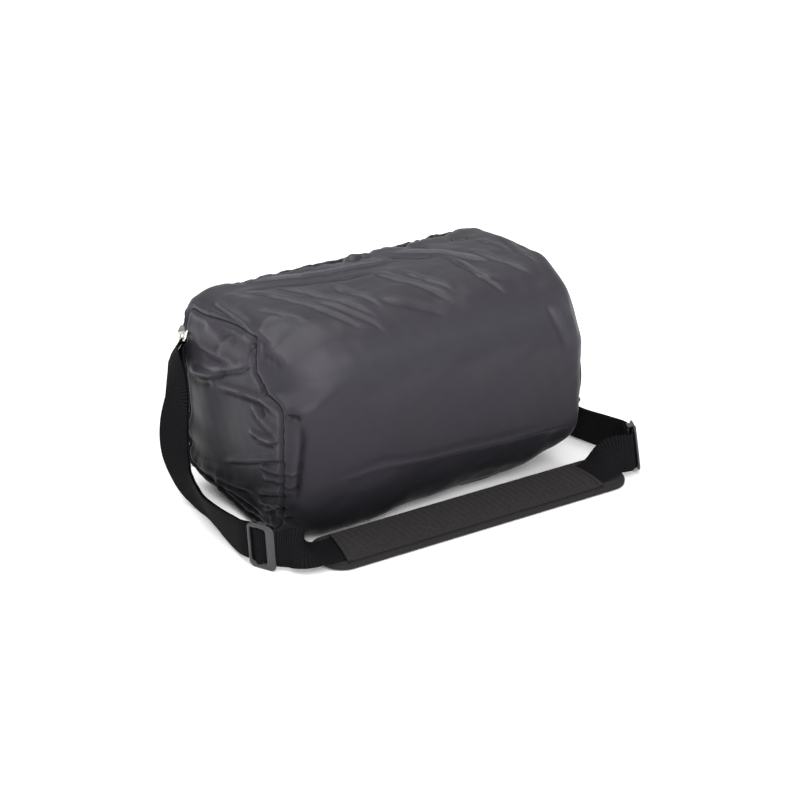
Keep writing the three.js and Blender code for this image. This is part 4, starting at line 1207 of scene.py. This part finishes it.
def make_rings():
    rise, reach, shoulder = np.linalg.norm(RING_BAR - RING_HANG), 12, 2.5
    local = [(-reach, rise - shoulder), *arc(0, reach, reach, 180 + np.linspace(0, 180, 25)),
             (reach, rise - shoulder), (11.2, rise - 0.8), (9.6, rise),
             *((x, rise) for x in (6, 2, -2, -6)), (-9.6, rise), (-11.2, rise - 0.8)]
    line = [RING_HANG + RING_ACROSS * u + RING_IN * v for u, v in local]
    both_ends("d_ring_wire", tube(line, 1.95, 16, loop=True), "nickel", "nickel", "ring_{}",
              "d_ring_{}")

    inward = unit([RING_ACROSS[2], 0, -RING_ACROSS[0]])
    inward = inward if inward[0] > 0 else -inward
    both_ends("ring_web", web_fold(RING_BAR, inward, RING_ACROSS, 17, 19, 3.3, 1.4),
              "webbing", "webbing", "bag", "ring_tab_{}")


def moved(part, origin, axes):
    """a part from its own axes to the object's"""
    points, faces = part
    return origin + points @ np.array(axes), faces


def lathe(profile, sides=20):
    """a turned piece about local Y, from (radius, height) points"""
    c, s = circle(sides)
    return rod([np.column_stack([r * c, np.full(sides, y), r * s]) for r, y in profile])


def rounded_block(x0, x1, z0, z1, y0, y1, radius, edge=0.7):
    """a block with soft edges, its corners rounded in X and Z"""
    rings = []
    for y, inset in ((y0, edge), (y0 + edge * 0.3, edge * 0.3), (y0 + edge, 0),
                     (y1 - edge, 0), (y1 - edge * 0.3, edge * 0.3), (y1, edge)):
        rect = soft_rectangle(x0 + inset, x1 - inset, z0 + inset, z1 - inset,
                              radius - inset * 0.5, 40)
        rings.append(np.column_stack([rect[:, 0], np.full(len(rect), y), rect[:, 1]]))
    return rod(rings)


def make_hooks():
    # the eye: a wire rectangle with the hook's swivel post in a turned boss
    half_wide, high, bend = 22.5, 12.0, 3.4
    turns = (0, 22, 45, 68, 90)
    loop = []
    for m, top in ((1, True), (-1, False)):
        v, a0 = (high - bend, 0) if top else (bend, 180)
        loop += arc(m * (half_wide - bend), v, bend, [a0 + a for a in turns])
        loop += [(m * s * 12, v + m * bend) for s in (1, 0.33, -0.33, -1)]
        loop += arc(-m * (half_wide - bend), v, bend, [a0 + 90 + a for a in turns])
    axes = np.array([EYE_BAR, HOOK_UP, np.cross(EYE_BAR, HOOK_UP)])
    wire = tube([EYE + (u, v, 0) @ axes for u, v in loop], 2.0, 16, loop=True)
    boss = lathe([(2.2, 9.4), (4.0, 9.4), (4.4, 10.0), (4.4, 14.0), (4.0, 14.8), (2.2, 14.8)])
    both_ends("hook_eye_wire", merge(wire, moved(boss, EYE, axes)), "nickel", "nickel", "bag",
              "hook_eye_{}")

    # the hook: a bent wire on a block, over the post and its collars
    throat, hook_wire, low, top = 7.0, 2.4, 18.0, 27.0
    centre = np.linalg.norm(RING_HANG - EYE) + 2 + 0.4 + hook_wire - throat
    spine = [(throat, top - 3), (throat, top + 2), (throat, centre - 3),
             *arc(0, centre, throat, np.linspace(0, 180, 21)),
             (-throat, centre - 2), (-throat, centre - 3.6)]
    hook = merge(
        tube([(u, v, 0) for u, v in spine], [2.7, 2.6, 2.45] + [hook_wire] * 22 + [2.1]),
        rounded_block(-throat - 3.6, throat + 2.6, -3.8, 3.8, low, top, 3.3),
        lathe([(1.9, 8.0), (1.9, low + 0.5)]),
        lathe([(1.6, 7.0), (3.1, 7.0), (3.4, 7.5), (3.2, 9.0), (1.9, 9.0)]),
        lathe([(2.0, low - 1.6), (3.2, low - 1.4), (3.4, low - 0.4), (3.4, low + 0.3)]),
    )
    hook_axes = (HOOK_SIDE, HOOK_UP, HOOK_ACROSS)
    both_ends("hook_metal", moved(hook, EYE, hook_axes), "nickel", "nickel", "hook_{}",
              "hook_body_{}")

    r, tip = 1.7, centre - 4.0
    points, faces = lathe([(r * 0.9, low + 6.9), (r, low + 7.2), (r, tip - 3.6),
                           (r + 1.3, tip - 3.4), (r + 1.5, tip - 3.0), (r + 1.5, tip - 1.5),
                           (r + 1.2, tip - 1.0), (r, tip - 0.9), (r * 0.95, tip - 0.3),
                           (r * 0.7, tip)], 16)
    both_ends("hook_spring_bolt", moved((points - throat * ACROSS, faces), EYE, hook_axes),
              "nickel", "nickel", "bolt_{}", "hook_bolt_{}")


# ---------- buckle sockets and other pieces kept from the CAD model ----------
def bevelled(node, name, material, bevel):
    """a copy of a CAD node with soft edges, which stands for it"""
    source = frame["nodes"][node]
    mesh = source.data.copy()
    mesh.materials.clear()

    def soften(bm):
        bmesh.ops.remove_doubles(bm, verts=bm.verts, dist=1e-6)
        bmesh.ops.dissolve_limit(bm, angle_limit=rad(2), verts=bm.verts, edges=bm.edges)
        sharp = [e for e in bm.edges if len(e.link_faces) == 2 and e.calc_face_angle(0) > rad(30)]
        bmesh.ops.bevel(bm, geom=sharp, offset=bevel * MM, segments=3, profile=0.6,
                        affect="EDGES", clamp_overlap=True)

    edit(mesh, soften)
    obj = shown(name, mesh, material)
    obj.modifiers.new("normals", "WEIGHTED_NORMAL").keep_sharp = False
    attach(obj, source["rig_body"])
    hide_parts(node)


def make_sockets():
    for row, z in (("upper", 170.0), ("lower", 88.0)):
        for end, x in (("left", -112.0), ("right", 112.0)):
            name = f"{row}_{end}"
            bevelled(f"buckle_socket_{name}", f"socket_shell_{name}", "plastic", 0.45)
            fold = web_fold(np.array([x, 125.0, z]), UP, ACROSS, 24, 24, 3.5, 1.2)
            make(f"socket_web_{name}", *fold, "webbing", "webbing", nodes=[f"socket_tab_{name}"])
            box = [(-8, 14), (8, 14), (8, 22), (-8, 22), (-8, 14)]
            line = resample(np.array([(x + u, 127.1, z + v) for u, v in box]), 30)[:-1]
            stitches(f"socket_web_stitches_{name}", line, BACK, 3.2)


def make_rest():
    bevelled("grip_panel", "grip_rubber_panel", "rubber", 0.8)
    bevelled("carry_handle", "handle_webbing", "webbing", 0.4)
    for material, nodes in (
        ("zip", ["zip_track"]), ("board", ["base_board", "back_board"]),
        ("nickel", ["zip_slider_left", "zip_slider_right", "zip_pull_left", "zip_pull_right"]),
    ):
        for node in nodes:
            data = frame["nodes"][node].data
            data.materials.clear()
            data.materials.append(MAT[material])


make_stage()
make_cover()
make_bag()
make_strap()
make_pad()
make_glides()
make_rings()
make_hooks()
make_sockets()
make_rest()
